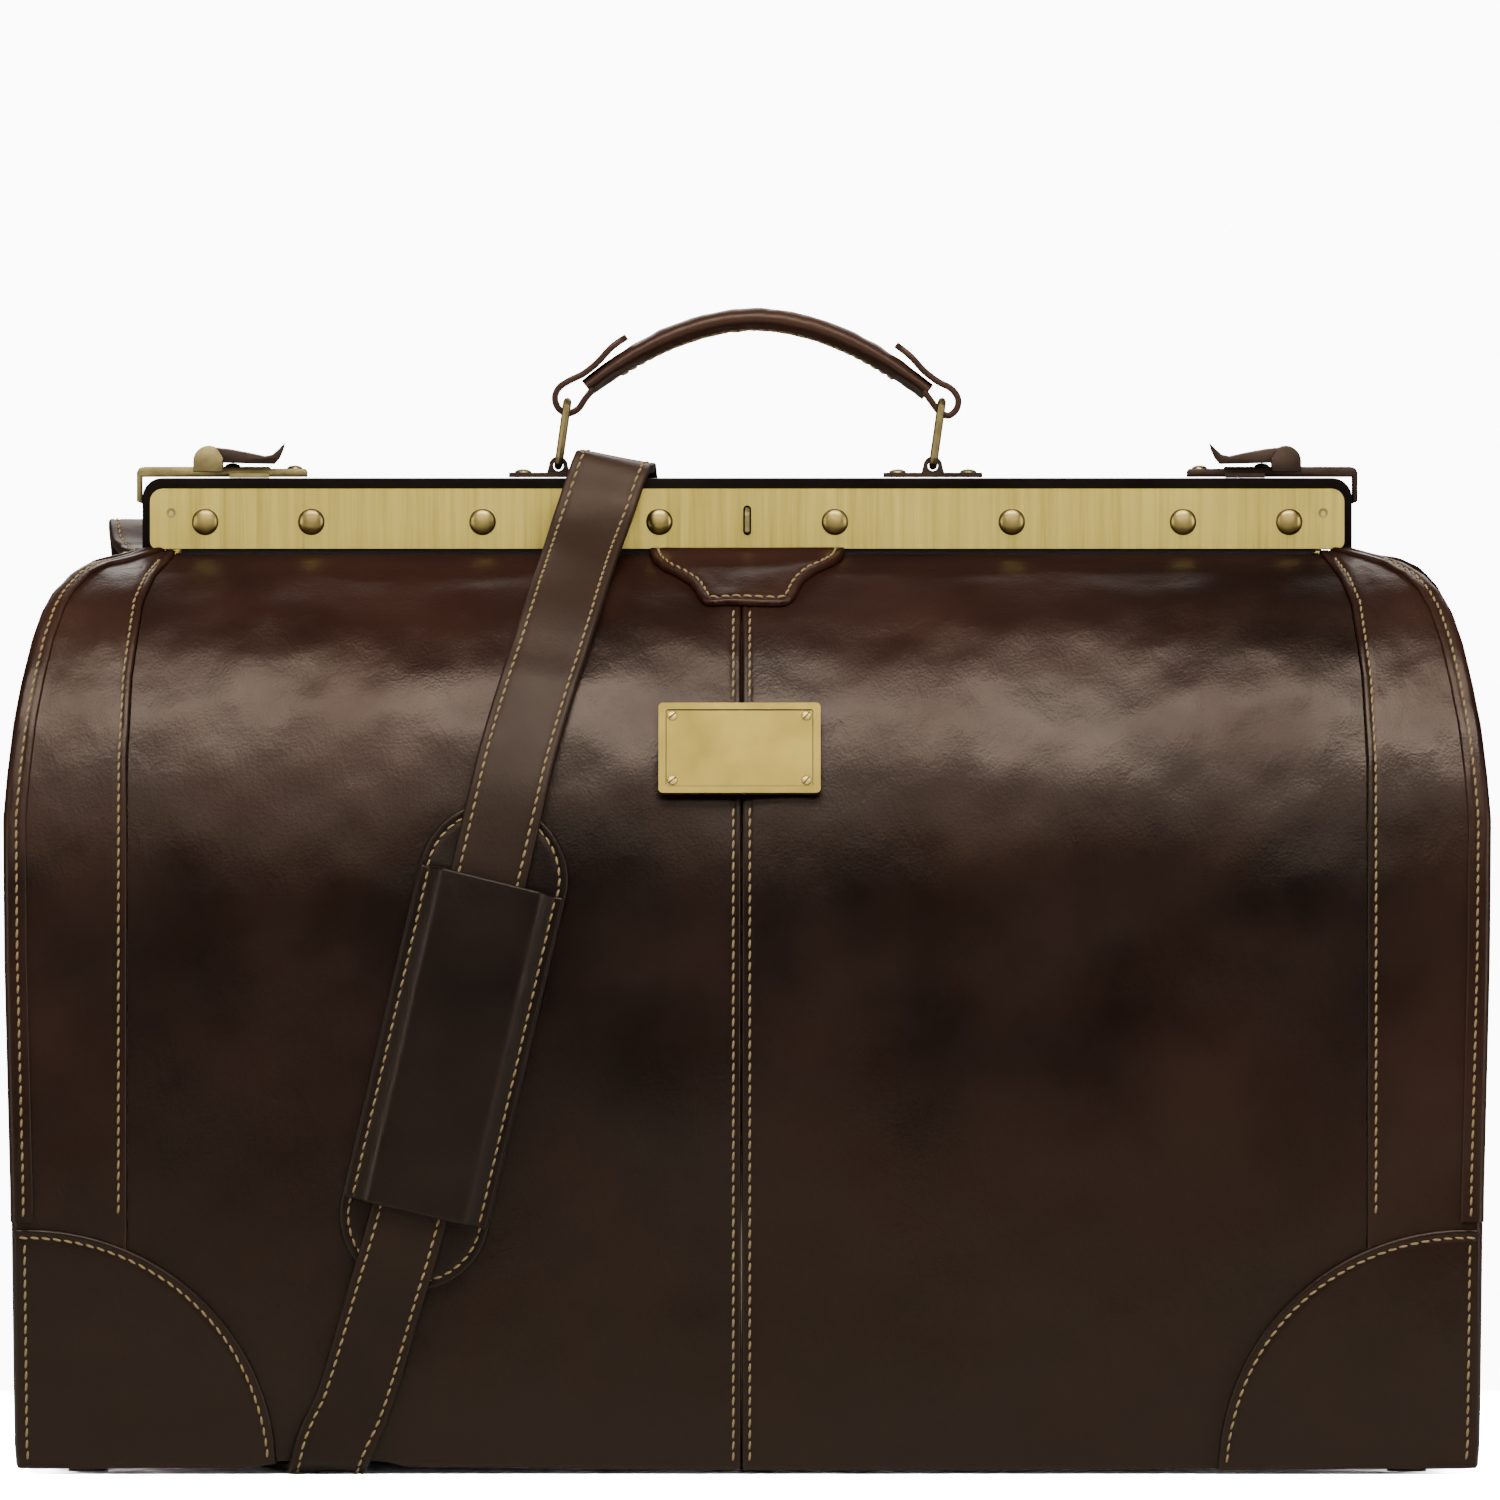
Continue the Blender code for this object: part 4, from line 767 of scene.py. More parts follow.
def make_lining(paints):
    """Cloth lining in a front and a rear half that meet on the base board."""
    for face, end in ((1, "front"), (-1, "rear")):
        s = np.linspace(length_at(14 * MM), WALL_TOP, 70)
        y, z, ny, nz = (np.interp(s, WALL[0], w) for w in WALL[1:])
        grids = []
        for rise in (-5.4 * MM, -5.9 * MM):
            yy = np.r_[np.linspace(0, 0.1125, 8), y + rise * ny]
            zz = np.r_[[10.9 * MM - rise - 5.4 * MM] * 8, z + rise * nz]
            wide = np.r_[[0.2480] * 8, half_width(z) - 7.6 * MM]
            t = np.linspace(-1, 1, 40)[None, :]
            x = t * wide[:, None]
            grid = [face * x, -face * yy[:, None] + 0 * x, zz[:, None] + 0 * x]
            grids.append(np.stack(grid, -1))
        item = shell(f"lining_{end}", grids[1], grids[0], paints["lining"])
        item.data.flip_normals()
        fold(item)
        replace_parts(item, "lining")


# ---------------------------------------------------------------- shoulder strap
STRAP_HALF, STRAP_THICK = 13.5 * MM, 3.4 * MM
STRAP_FRONT_Z = (0.0035, 0.0308, 0.0658, 0.090, 0.2173, 0.2586, 0.3208, 0.352)
STRAP_FRONT_X = (-0.1466, -0.1362, -0.1262, -0.1188, -0.0890, -0.0791, -0.0588, -0.0477)
D_RING_X, D_RING_Y, D_RING_Z = 199.5 * MM, 22.2 * MM, 327.5 * MM


def hook_place(side):
    """From a hook's own frame to the bag."""
    lean = math.radians(5)
    y = D_RING_Y + 20 * MM * math.cos(lean)
    z = D_RING_Z - 20 * MM * math.sin(lean) + 0.4 * MM
    turn = Matrix.Rotation(math.radians(107), 4, "Z")
    tilt = Matrix.Rotation(math.radians(15), 4, "Y")
    return Matrix.Translation((side * D_RING_X, y, z)) @ turn @ tilt


def hook_points(side, rows):
    """Strap rows in a hook's frame: x, z and the outward x, z."""
    place = hook_place(side)
    turn = place.to_3x3()
    rows = [(x * MM, z * MM, a, b) for x, z, a, b in rows]
    return [(place @ Vector((x, 0, z)), turn @ Vector((a, 0, b))) for x, z, a, b in rows]


def loop_rows():
    """The strap's turn round a hook's bar."""
    turns = [math.radians(t) for t in (270, 225, 180, 135, 90)]
    return [(31.2 + 2.4 * math.cos(t), 2.4 * math.sin(t), math.cos(t), math.sin(t)) for t in turns]


def placed(x, y, z, out_y, out_z, out_x=0.0):
    """One strap row, given in millimetres, with the way it faces."""
    return Vector((x * MM, y * MM, z * MM)), Vector((out_x, out_y, out_z))


STRAP_FALL = (
    (-213.0, 94.0, 328.6, 0, 1), (-213.5, 104.0, 329.6, 1, 3), (-213.0, 116.0, 323.5, 2, 2),
    (-211.5, 125.5, 308.0, 4, 1), (-208.5, 130.5, 285.0, 1, 0), (-205.0, 132.2, 250.0, 1, 0),
    (-202.0, 132.6, 215.0, 1, 0), (-199.5, 132.6, 155.0, 1, 0), (-198.0, 132.6, 115.0, 1, 0),
    (-194.5, 131.0, 70.0, 1, 0), (-191.0, 128.2, 30.0, 1, 0), (-189.6, 126.4, 13.0, 1, 0),
    (-189.2, 125.5, 7.5, 4, -1), (-189.0, 124.8, 4.3, 1, -1), (-188.6, 121.8, 3.45, 0, -1),
    (-186.0, 110.0, 3.9, 0, -1), (-180.0, 70.0, 3.9, 0, -1), (-172.0, 20.0, 3.9, 0, -1),
    (-165.0, -20.0, 3.9, 0, -1), (-160.0, -50.0, 3.9, 0, -1), (-156.3, -74.0, 3.9, 0, -1),
    (-153.4, -92.0, 3.9, 0, -1), (-151.2, -104.0, 3.9, 0, -1), (-149.5, -112.5, 3.8, 0, -1),
    (-148.3, -118.6, 3.7, 0, -1), (-147.1, -122.2, 5.2, -1, -1), (-145.8, -123.6, 8.5, -4, -1),
    (-143.0, -124.2, 14.5, -1, 0),
)
STRAP_OVER = (
    (-65.3, -79.5, 301.6, -1, 1), (-61.3, -61.5, 313.5, -1, 2), (-58.6, -46.0, 321.8, -1, 2),
    (-56.0, -34.0, 329.8, -1, 1), (-52.6, -25.0, 340.0, -2, 1), (-49.6, -20.6, 349.0, -2, 1),
    (-48.2, -17.6, 352.4, -1, 2, 0.4), (-47.9, -13.0, 353.0, 0, 1, 0.2),
    (-47.2, 0.0, 353.0, 0, 1, 0.2), (-46.4, 13.0, 353.0, 0, 1, 0.2),
    (-46.0, 17.6, 352.4, 1, 2, 0.4), (-45.4, 20.6, 349.0, 2, 1), (-44.2, 25.0, 340.0, 2, 1),
    (-41.2, 34.0, 329.8, 1, 1), (-36.4, 46.0, 321.8, 1, 2), (-28.4, 61.5, 313.5, 1, 2),
    (-17.4, 79.8, 301.8, 1, 1), (-7.0, 97.0, 283.0, 2, 1), (3.5, 110.6, 265.0, 2, 1),
    (16.5, 121.0, 240.0, 3, 1), (27.0, 127.0, 215.0, 4, 1), (34.8, 129.6, 195.0, 1, 0),
    (40.0, 130.2, 180.0, 1, 0), (43.0, 132.0, 170.5, 2, 1), (46.5, 137.0, 166.0, 0, 1),
    (50.0, 142.0, 170.5, -2, 1), (53.0, 143.8, 180.0, -1, 0), (58.0, 144.0, 198.0, -1, 0),
    (67.0, 144.0, 222.0, -4, -1), (82.0, 142.0, 247.0, -3, -1), (104.0, 135.0, 272.0, -2, -1),
    (130.0, 123.5, 293.0, -1, -1), (153.0, 109.0, 307.0, -2, -3), (170.0, 95.5, 313.5, -1, -3),
)
STRAP_FRONT_ROWS = (24, 40, 52, 64, 78, 100, 130, 160, 190, 212, 226, 238, 250, 268, 284)


def strap_path():
    """Left hook, down the back, under the base, up the front, over, down, right hook."""
    rows = [(45, 2.6, 0.3, -1), (38, 0, 0.2, -1)] + loop_rows()
    path = hook_points(-1, rows + [(36.5, 4.6, -0.3, 1), (42, 8.6, -0.3, 1)])
    path += [placed(*row) for row in STRAP_FALL]
    for z in STRAP_FRONT_ROWS:
        up, down = np.clip((z - 50) / 14, 0, 1), np.clip((264 - z) / 24, 0, 1)
        rise = 0.7 + 3.4 * up * up * (3 - 2 * up) * down * down * (3 - 2 * down)
        s = length_at(z * MM)
        y, height, ny, nz = (float(np.interp(s, WALL[0], w)) for w in WALL[1:])
        x = float(np.interp(z * MM, STRAP_FRONT_Z, STRAP_FRONT_X))
        rise = rise * MM
        path.append((Vector((x, -y - rise * ny, height + rise * nz)), Vector((0, -ny, nz))))
    path += [placed(*row) for row in STRAP_OVER]
    rows = [(44, -0.9, 0.1, -1), (37, -2.3, 0, -1)] + loop_rows()
    rows += [(37, 2.4, 0, 1), (45, 3.6, -0.1, 1)]
    return path + hook_points(1, rows)


def spline(knots, at):
    """Smooth curve through knots at fractional places along them."""
    i = np.clip(at.astype(int), 0, len(knots) - 2)
    t = (at - i)[:, None]
    a, b = knots[np.maximum(i - 1, 0)], knots[i]
    c, d = knots[i + 1], knots[np.minimum(i + 2, len(knots) - 1)]
    bend = 2 * a - 5 * b + 4 * c - d
    return 0.5 * (2 * b + (c - a) * t + bend * t * t + (3 * (b - c) + d - a) * t**3)


def over_wall(points):
    """Move points near a wall out or in with that wall's own undulation."""
    x, y, z = points[:, 0], points[:, 1], points[:, 2]
    face = np.where(y < 0, 1.0, -1.0)
    s = np.interp(z, WALL[2], WALL[0])
    near = np.clip((np.abs(y) - 0.03) / 0.03, 0, 1) * np.clip((z - 0.008) / 0.02, 0, 1)
    lift = np.zeros(len(x))
    for way in (1, -1):
        use = face == way
        lift[use] = drape(way, way * x[use], s[use])
    lift = lift * near
    ny, nz = (np.interp(s, WALL[0], w) for w in WALL[3:])
    return points + np.stack([0 * x, -face * ny * lift, nz * lift], -1)


def strap_piece(name, points, facing, first, last, paints):
    """One stretch of strap with crowned face, round edges and two stitch rows."""
    count = max(int((last - first) * 6), 8)
    at = np.linspace(first, last, count + 1)
    step = 0.15
    middle = over_wall(spline(points, at))
    ahead = spline(points, np.minimum(at + step, len(points) - 1.001))
    ahead = ahead - spline(points, np.maximum(at - step, 0))
    out = spline(facing, at)
    across = np.cross(ahead, out)
    across /= np.linalg.norm(across, axis=1)[:, None]
    up = np.cross(across, ahead)
    up /= np.linalg.norm(up, axis=1)[:, None]
    u = lay([-STRAP_HALF], [STRAP_HALF], EDGE, EDGE, 7)[0]
    edge = np.minimum(u + STRAP_HALF, STRAP_HALF - u)
    face = STRAP_THICK - round_off(edge, 1.1 * MM) - seat(edge, 3.0 * MM, 0.3 * MM)
    under = 0.5 * round_off(edge, 0.8 * MM)
    flat = middle[:, None] + across[:, None] * u[None, :, None]
    outer = flat + up[:, None] * face[None, :, None]
    inner = flat + up[:, None] * under[None, :, None]
    item = shell(name, outer[:, ::-1], inner[:, ::-1], paints["strap"])
    item.data.flip_normals()
    rows = [item]
    for side, hand in ((-1, "a"), (1, "b")):
        line = middle + across * side * (STRAP_HALF - SEAM_IN) + up * (STRAP_THICK - 0.1 * MM)
        rows.append(stitch_row(f"{name}_stitches_{hand}", line, up, paints["thread"]))
    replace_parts(item, "shoulder_strap")
    return rows


def make_strap(paints):
    """The strap in five stretches: rear, front, the two halves over the frame, rear."""
    path = strap_path()
    points = np.array([tuple(p) for p, _ in path])
    facing = np.array([tuple(o.normalized()) for _, o in path])
    last = len(path) - 1.001
    stretches = (
        ("strap_rear_left", 0.0, 26.0, REAR_FOLD),
        ("strap_front", 26.0, 58.0, FRONT_FOLD),
        ("strap_over_front", 58.0, 60.0, ("bag_body", "front_jaw", (0, 0, 0), (0, -0.0176, 0))),
        ("strap_over_rear", 60.0, 62.0, ("bag_body", "rear_jaw", (0, 0, 0), (0, 0.0176, 0))),
        ("strap_rear_right", 62.0, last, REAR_FOLD),
    )
    for name, first, end, bend in stretches:
        for item in strap_piece(name, points, facing, first, end, paints):
            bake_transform(item)


# ---------------------------------------------------------------- shoulder pad
PAD_X, PAD_Z, PAD_SIN, PAD_COS = -0.1031, 0.14985, 0.2273, 0.9738
PAD_LONG, PAD_WIDE = 87.0 * MM, 26.5 * MM
SLEEVE_LONG, SLEEVE_WIDE = 59.5 * MM, 25.8 * MM


def pad_place(along, across):
    """Where a point in the pad's tilted frame lies on the front wall."""
    x = PAD_X + along * PAD_SIN + across * PAD_COS
    return x, length_at(PAD_Z + along * PAD_COS - across * PAD_SIN)


def pad_grid(along, across, rise):
    """Points over the front wall in the pad's frame."""
    return wall(1, *pad_place(along, across), rise)


def pad_normals(along, across):
    """Outward normals in the pad's frame."""
    return wall_normal(1, *pad_place(along, across))


def rounded_bar(half_along, half_across, inset, count=260):
    """Points round a long shape with round ends, drawn in by inset."""
    a, b = half_along - inset, half_across - inset
    t = np.linspace(0, 2 * math.pi, count)
    c, s = np.cos(t), np.sin(t)
    return np.sign(c) * (a - b) + b * c, b * s


def make_pad(paints):
    """Shoulder pad: a long backing with round ends under a stitched sleeve."""
    a, b = PAD_LONG, PAD_WIDE
    rings, t = [], np.linspace(0, 2 * math.pi, 200, endpoint=False)
    c, s = np.cos(t), np.sin(t)
    insets = np.r_[np.array(EDGE) * MM, np.linspace(7.5, 26.0, 9) * MM]
    for inset in insets:
        r = b - inset
        rings.append((np.sign(c) * (a - b) + r * c, r * s))
    along = np.array([r[0] for r in rings])
    across = np.array([r[1] for r in rings])
    edge = insets[:, None] + 0 * along
    rise = PAD_LIFT - round_off(edge, 1.1 * MM) - seat(edge, 3.2 * MM)
    outer = pad_grid(along, across, rise)
    inner = pad_grid(along, across, 0 * along + 0.7 * MM)
    points = np.concatenate([outer.reshape(-1, 3), inner.reshape(-1, 3)])
    rows, columns = along.shape
    faces, m = [], rows * columns
    for row in range(rows - 1):
        for k in range(columns):
            p, q = row * columns + k, row * columns + (k + 1) % columns
            faces.append([p, q, q + columns, p + columns])
            faces.append([p + m, p + columns + m, q + columns + m, q + m])
    top = (rows - 1) * columns
    faces.append([top + k for k in range(columns)])
    faces.append([top + m + k for k in range(columns)][::-1])
    for k in range(columns):
        n = (k + 1) % columns
        faces.append([k, k + m, n + m, n])
    item = finished("pad_backing", points, faces, paints["pad"])
    item.data.flip_normals()
    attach(item, "bag_body")
    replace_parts(item, "shoulder_pad_backing")
    along, across = rounded_bar(a, b, 3.2 * MM)
    points = pad_grid(along, across, PAD_LIFT - THREAD_SINK)
    normals = pad_normals(along, across)
    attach(stitch_row("pad_backing_stitches", points, normals, paints["thread"]), "bag_body")

    half = SLEEVE_WIDE
    u = lay([-half], [half], EDGE, EDGE, 34)[0][None, :]
    v = lay([-SLEEVE_LONG], [SLEEVE_LONG], EDGE, EDGE, 40)[0][:, None]
    away = half - np.abs(u)
    ends = SLEEVE_LONG - np.abs(v)
    step = np.clip((23.5 * MM - np.abs(u)) / (7.0 * MM), 0, 1)
    crown = step * step * (3 - 2 * step)
    bow = 0.35 * MM * np.cos(np.clip(np.abs(u) / half, 0, 1) * math.pi / 2)
    lift = (SLEEVE_LIFT + 4.2 * MM * crown + bow) + 0 * v
    lift = lift + 0.12 * MM * ripple(MIDDLE, u * 1.2 + 0.4, v)
    drop = np.maximum(round_off(away, 0.9 * MM), round_off(ends, 0.8 * MM))
    sew = seat(away, 3.0 * MM, 0.45 * MM, 1.0 * MM)
    outer = pad_grid(v + 0 * u, u + 0 * v, lift - drop - sew)
    inner = pad_grid(v + 0 * u, u + 0 * v, lift - 2.0 * MM)
    item = shell("pad_sleeve", outer, inner, paints["pad"])
    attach(item, "bag_body")
    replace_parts(item, "shoulder_pad_sleeve")
    line = np.linspace(-58 * MM, 58 * MM, 200)
    for side, hand in ((-1, "left"), (1, "right")):
        across = 0 * line + side * (half - SEAM_IN)
        points, normals = pad_grid(line, across, SLEEVE_LIFT - 0.1 * MM), pad_normals(line, across)
        row = stitch_row(f"pad_sleeve_stitches_{hand}", points, normals, paints["thread"])
        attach(row, "bag_body")


# ---------------------------------------------------------------- handle grip
RING_LEFT = Vector((-66.8 * MM, 8.5 * MM, 353.0 * MM))
RING_SPAN, RING_RISE = 132.5 * MM, Vector((3.2 * MM, 0, 22.7 * MM))
GRIP_TOP = 409 * MM


def grip_arch(count):
    """The grip's arched middle line and its directions in XZ."""
    left = RING_LEFT + RING_RISE
    rise = GRIP_TOP - 3.6 * MM - left.z
    t = np.linspace(-0.90, 0.93, count)
    x = left.x + RING_SPAN / 2 + t * RING_SPAN / 2
    z = left.z + rise * (1 - np.abs(t) ** 1.9)
    dx, dz = np.gradient(x), np.gradient(z)
    size = np.hypot(dx, dz)
    return x, z, dx / size, dz / size


def make_grip(paints):
    """Rolled leather grip: a bulged roll stitched along its underside, looped ends."""
    x, z, dx, dz = grip_arch(121)
    run = np.linspace(0, 1, 121)
    sides = 28
    t = np.linspace(0, 2 * math.pi, sides, endpoint=False)
    tall = 3.5 * MM - 0.9 * MM * np.clip(np.abs(run - 0.5) * 2 - 0.55, 0, 1) / 0.45
    wide = 5.9 * MM + 0 * run
    ring_up = np.sin(t)
    ring_side = np.cos(t)
    seam = np.exp(-(((t - 1.5 * math.pi) / 0.35) ** 2))
    up = tall[:, None] * ring_up[None, :] - 1.2 * MM * seam[None, :]
    side = wide[:, None] * ring_side[None, :] * (1 - 0.25 * seam[None, :])
    wrinkle = 0.10 * MM * ripple(FINE, (run * 0.16)[:, None] + 0 * t, 0.004 * t[None, :])
    up = up + wrinkle * ring_up
    px = x[:, None] - dz[:, None] * up
    pz = z[:, None] + dx[:, None] * up
    points = np.stack([px, RING_LEFT.y + side, pz], -1)
    faces = tube_faces(points.shape[0], sides)
    roll = finished("grip_roll", points.reshape(-1, 3), faces, paints["grip"])
    roll.data.flip_normals()
    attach(roll, "handle_grip")
    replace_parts(roll, "handle_grip")
    keep = slice(10, -10)
    low = np.stack([x + dz * 4.3 * MM, 0 * x + RING_LEFT.y - 1.9 * MM, z - dx * 4.3 * MM], -1)
    normals = np.stack([0.4 * dz, 0 * x - 1, -0.4 * dx], -1)
    row = stitch_row("grip_stitches", low[keep], normals[keep], paints["thread"], 3.4 * MM)
    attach(row, "handle_grip")
    for side, hand in HANDS:
        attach(grip_loop(side, hand, paints), "handle_grip")


LOOP_LEFT = (
    (-42.6, 398.7), (-47.8, 395.1), (-53.2, 389.4), (-58.0, 385.6), (-62.9, 383.2),
    (-66.6, 380.6), (-68.0, 377.0), (-66.7, 373.3), (-63.4, 371.6), (-59.8, 373.2),
    (-57.4, 376.6), (-54.4, 380.4),
)
LOOP_RIGHT = (
    (52.6, 395.9), (57.7, 391.9), (62.6, 386.6), (67.4, 382.9), (72.2, 380.3), (74.6, 376.8),
    (74.0, 373.0), (71.2, 370.8), (68.0, 372.2), (65.2, 375.8), (62.4, 379.6),
)


def grip_loop(side, hand, paints):
    """The folded end: a teardrop round the ring's bar, its pointed flap on the roll."""
    knots = np.array(LOOP_LEFT if side < 0 else LOOP_RIGHT) * MM
    at = np.linspace(0, len(knots) - 1.001, 90)
    line = spline(knots, at)
    way = np.gradient(line, axis=0)
    way /= np.linalg.norm(way, axis=1)[:, None]
    out = np.stack([-way[:, 1], way[:, 0]], -1) * side
    point = np.clip(at / 1.3, 0, 1)
    wide = 6.6 * MM * np.sqrt(np.clip(point * (2 - point), 0.02, 1))
    u = np.r_[-1, -0.97, -0.9, -0.8, np.linspace(-0.6, 0.6, 7), 0.8, 0.9, 0.97, 1]
    away = (1 - np.abs(u)) * 6.6 * MM
    half = 1.15 * MM - 0.8 * round_off(away, 0.9 * MM)
    y = RING_LEFT.y + wide[:, None] * u[None, :]

    def layer(sign):
        lift = sign * half[None, :] + 0 * y
        x = line[:, :1] + out[:, :1] * lift
        z = line[:, 1:] + out[:, 1:] * lift
        return np.stack([x, y, z], -1)

    item = shell(f"grip_loop_{hand}", layer(1), layer(-1), paints["grip"])
    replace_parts(item, "handle_grip")
    return item


# ---------------------------------------------------------------- metal details
def lathe(name, profile, place, paint, sides=32):
    """A turned piece: profile of (radius, height) pairs, standing on place."""
    turns = [2 * math.pi * k / sides for k in range(sides)]
    verts = [(r * math.cos(t), r * math.sin(t), h) for r, h in profile for t in turns]
    verts = [place @ Vector(v) for v in verts]
    return finished(name, verts, tube_faces(len(profile), sides), paint)


def dome(radius, height, sink=0.3 * MM):
    """Profile of a domed head with a small shoulder."""
    turn = np.linspace(0, math.pi / 2 * 0.97, 9)
    profile = [(radius * 0.94, -sink), (radius, 0.12 * MM)]
    rise = height - 0.15 * MM
    return profile + [(radius * math.cos(t) * 0.985, 0.15 * MM + rise * math.sin(t)) for t in turn]


def facing_out(face):
    """A turn that points a lathe's +Z out of the front or the back."""
    return Matrix.Rotation(math.radians(90 * face), 4, "X")


def make_rivets(paints):
    """Domed rivets, end dimples and small rivets of the chapes and latches."""
    aged = paints["aged"]
    for face, end in ENDS:
        body = f"{end}_jaw"
        y = -face * 18.4 * MM
        for i, x in enumerate(sorted([-v for v in RIVET_X] + list(RIVET_X))):
            place = Matrix.Translation((x, y, 333.5 * MM)) @ facing_out(face)
            item = lathe(f"rivet_{end}_{i + 1}", dome(4.75 * MM, 2.4 * MM), place, paints["rivet"])
            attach(item, body)
        for side, hand in HANDS:
            place = Matrix.Translation((side * 203.5 * MM, y, 336.7 * MM)) @ facing_out(face)
            ring = [(1.75, -0.1), (1.7, 0.12), (1.35, 0.14), (1.0, 0.04), (0.4, -0.05)]
            ring = [(r * MM, h * MM) for r, h in ring]
            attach(lathe(f"dimple_{end}_{hand}", ring, place, aged), body)
    for side, hand in HANDS:
        bar_x = RING_LEFT.x if side < 0 else RING_LEFT.x + RING_SPAN
        for i, x in enumerate((bar_x - 12.5 * MM, bar_x + 12.5 * MM)):
            place = Matrix.Translation((x, RING_LEFT.y, 350.6 * MM))
            name = f"handle_base_rivet_{hand}_{i + 1}"
            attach(lathe(name, dome(3.0 * MM, 1.3 * MM), place, aged, 20), "rear_jaw")
        for i, (inboard, height) in enumerate(((31.0, 351.9), (9.0, 352.6))):
            place = Matrix.Translation((side * (191 - inboard) * MM, 4.5 * MM, height * MM))
            name = f"latch_rivet_{hand}_{i + 1}"
            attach(lathe(name, dome(2.8 * MM, 1.4 * MM), place, aged, 20), "rear_jaw")


def block(name, place, half, paint):
    """A plain box of half sizes about a place."""
    bpy.ops.mesh.primitive_cube_add(size=2)
    item = bpy.context.object
    item.name = name
    item.data.transform(place @ Matrix.Diagonal((*half, 1)))
    item.data.materials.append(paint)
    return item


def make_plate_screws(paints):
    """Slotted heads in the corners of the name plate, and its engraved border."""
    s = length_at(0.2537)
    y, z, ny, nz = (float(np.interp(s, WALL[0], w)) for w in WALL[1:])
    lean = math.atan2(nz, ny)
    stand = (-2.7 * MM, -y - 2.6 * MM * math.cos(lean), z + 2.6 * MM * math.sin(lean))
    base = Matrix.Translation(stand) @ Matrix.Rotation(math.pi / 2 - lean, 4, "X")
    spots = [(u, v, turn) for u, turn in ((-23.6, 0.7), (23.6, 0.9)) for v in (-12.4, 12.4)]
    for i, (u, v, turn) in enumerate(spots):
        place = base @ Matrix.Translation((u * MM, v * MM, 0.3 * MM))
        profile = dome(1.8 * MM, 0.5 * MM, 0.0)
        head = lathe(f"plate_screw_{i + 1}", profile, place, paints["rivet"], 24)
        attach(head, "bag_body")
        turned = place @ Matrix.Translation((0, 0, 0.5 * MM)) @ Matrix.Rotation(turn, 4, "Z")
        half = (1.55 * MM, 0.22 * MM, 0.12 * MM)
        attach(block(f"plate_screw_slot_{i + 1}", turned, half, paints["edge"]), "bag_body")
    across, up, thin = 25.8, 14.6, 0.14
    lines = [(0, v, across, thin) for v in (up, -up)]
    lines += [(u, 0, thin, up) for u in (across, -across)]
    for i, (u, v, half_u, half_v) in enumerate(lines):
        place = base @ Matrix.Translation((u * MM, v * MM, 0.32 * MM))
        half = (half_u * MM, half_v * MM, 0.08 * MM)
        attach(block(f"plate_border_{i + 1}", place, half, paints["edge"]), "bag_body")


def make_lips(paints):
    """The hide's turned-in edge, up under each jaw bar."""
    half = (200 * MM, 0.6 * MM, 2.0 * MM)
    for face, end in ENDS:
        place = Matrix.Translation((0, -face * 15.4 * MM, 321.6 * MM))
        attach(block(f"mouth_lip_{end}_jaw", place, half, paints["edge"]), f"{end}_jaw")


def slab(name, outline, y0, y1, paint, bevel=0.35 * MM):
    """A plate cut to an outline in XZ between two depths, its edges eased."""
    bm = bmesh.new()
    face = bm.faces.new([bm.verts.new((x, y0, z)) for x, z in outline])
    grown = bmesh.ops.extrude_face_region(bm, geom=[face])
    for item in grown["geom"]:
        if isinstance(item, bmesh.types.BMVert):
            item.co.y = y1
    bmesh.ops.recalc_face_normals(bm, faces=bm.faces)
    flat = [e for e in bm.edges if abs(e.verts[0].co.y - e.verts[1].co.y) < 1e-7]
    bmesh.ops.bevel(bm, geom=flat, offset=bevel, segments=2, affect="EDGES", profile=0.5)
    mesh = bpy.data.meshes.new(name)
    bm.to_mesh(mesh)
    bm.free()
    return show(name, mesh, paint, 40)


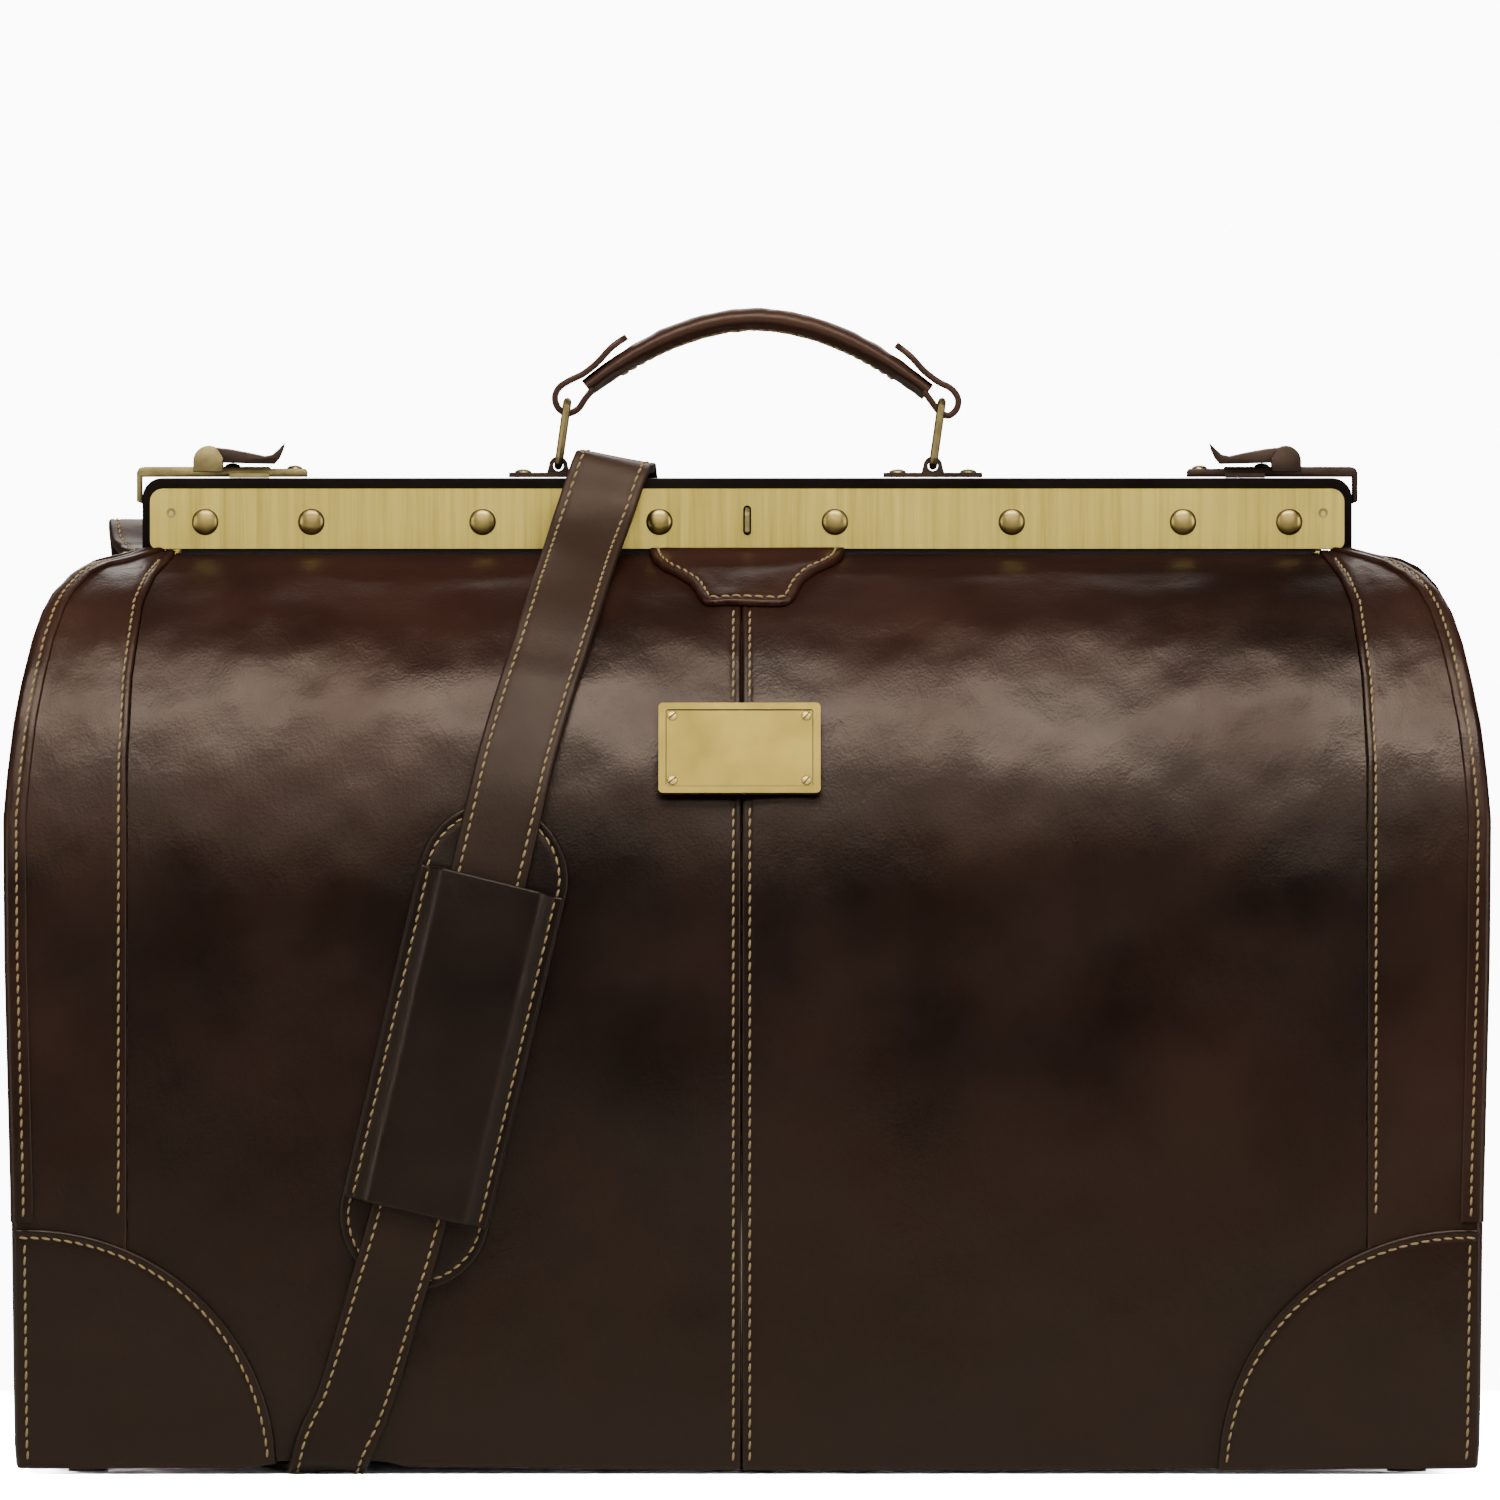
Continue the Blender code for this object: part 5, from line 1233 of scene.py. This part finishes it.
def make_latches(paints):
    """Flip latches: a base plate hooked over the frame's end and a curled lever."""
    round_top = [math.radians(t) for t in range(15, 181, 15)]
    cheek = [(5.6, -3.9), (5.8, 1.4)]
    cheek += [(0.4 + 5.2 * math.cos(t), 5.2 * math.sin(t)) for t in round_top]
    cheek += [(-4.8, -3.9)]
    blade = [(1.4, 4.7), (8, 4.0), (15, 2.7), (20.5, 1.5), (23.0, 2.0), (25.2, 3.9), (27.6, 6.4)]
    blade += [(26.9, 3.4), (25.6, 0.6), (24.0, -1.2), (14, -1.0), (5.5, -0.7), (2, -0.7)]
    base = [(-24.9, -14.5), (-22.9, -15.4), (-22.9, -5.9), (35.5, -5.9), (35.5, -4.0), (34.6, -3.0)]
    base += [(22.5, -3.0), (22.0, -2.3), (-22.4, -2.3), (-24.2, -2.8), (-24.9, -4.2)]
    for inward, hand in ((1, "left"), (-1, "right")):

        def seen(ring, inward=inward):
            return [(inward * (x - 191) * MM, (355 + z) * MM) for x, z in ring]

        # The right latch's cheeks and foot are dark bronze as painted shade, a shaded copy of the
        # left latch's aged brass.
        shell_paint = paints["aged" if inward > 0 else "bronze_and_shade"]
        lever = f"latch_lever_{hand}"
        for y0, y1, part in ((-14.5, -11.5, "front"), (13.0, 16.0, "rear")):
            item = slab(f"latch_cheek_{hand}_{part}", seen(cheek), y0 * MM, y1 * MM, shell_paint)
            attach(item, lever)
            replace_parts(item, lever)
        # Both blades are dark bronze as painted shade on the lever's sloping top.
        item = slab(f"latch_blade_{hand}", seen(blade), -13.5 * MM, 15.0 * MM, paints["bronze_and_shade"])
        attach(item, lever)
        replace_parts(item, lever)
        item = slab(f"latch_foot_{hand}", seen(base), 0.8 * MM, 15.8 * MM, shell_paint)
        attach(item, "rear_jaw")
        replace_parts(item, f"latch_base_{hand}")


FINISHES = (
    ("brass", ("front_facing", "rear_facing", "snap_hook")),
    ("plate", ("name_plate",)),
    ("bar", ("front_jaw_bar", "rear_jaw_bar")),
    ("steel", ("front_arm", "rear_arm", "hinge_pin")),
    ("hide", ("base_panel",)),
    ("board", ("base_board", "front_board", "back_board", "end_board")),
    # The right latch, lever and keeper are dark bronze as painted shade: a shaded copy of the left
    # latch's brass.
    ("bronze_and_shade", ("latch_lever_right", "latch_base_right", "latch_keeper_right")),
    # The feet are dark bronze as painted shade, so they sink into the shadow under the base. The
    # handle base is dark bronze too.
    ("bronze_and_shade", ("handle_base", "foot")),
)


def repaint(paints):
    """Finishes for the CAD pieces that show as they are, by how their names begin."""
    for name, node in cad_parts.items():
        paint = next((key for key, starts in FINISHES if name.startswith(starts)), "aged")
        node.data.materials.clear()
        node.data.materials.append(paints[paint])
        node.data.set_sharp_from_angle(angle=math.radians(35))


def dull_bounce(names):
    """Keep the bright frame from gilding the glossy hide below it."""
    for name in names:
        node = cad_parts[name]
        node.visible_glossy = False
        node.visible_diffuse = False


def metal_parts(paints):
    """Every shown piece that wears a metal finish."""
    metals = {paints[k] for k in ("brass", "plate", "rivet", "aged", "bronze_and_shade", "steel")}
    meshes = [o for o in bpy.context.scene.objects if o.type == "MESH" and o.data.materials]
    return [o for o in meshes if o.data.materials[0] in metals]


paints = make_materials()
repaint(paints)
dull_bounce(("front_facing", "rear_facing"))
make_panels(paints)
make_bands(paints)
make_patches(paints)
make_tab(paints)
make_ends(paints)
make_lining(paints)
make_strap(paints)
make_pad(paints)
make_grip(paints)
make_rivets(paints)
make_latches(paints)
make_lips(paints)
make_plate_screws(paints)
make_camera()
make_world()
make_lights(metal_parts(paints))
make_floor()
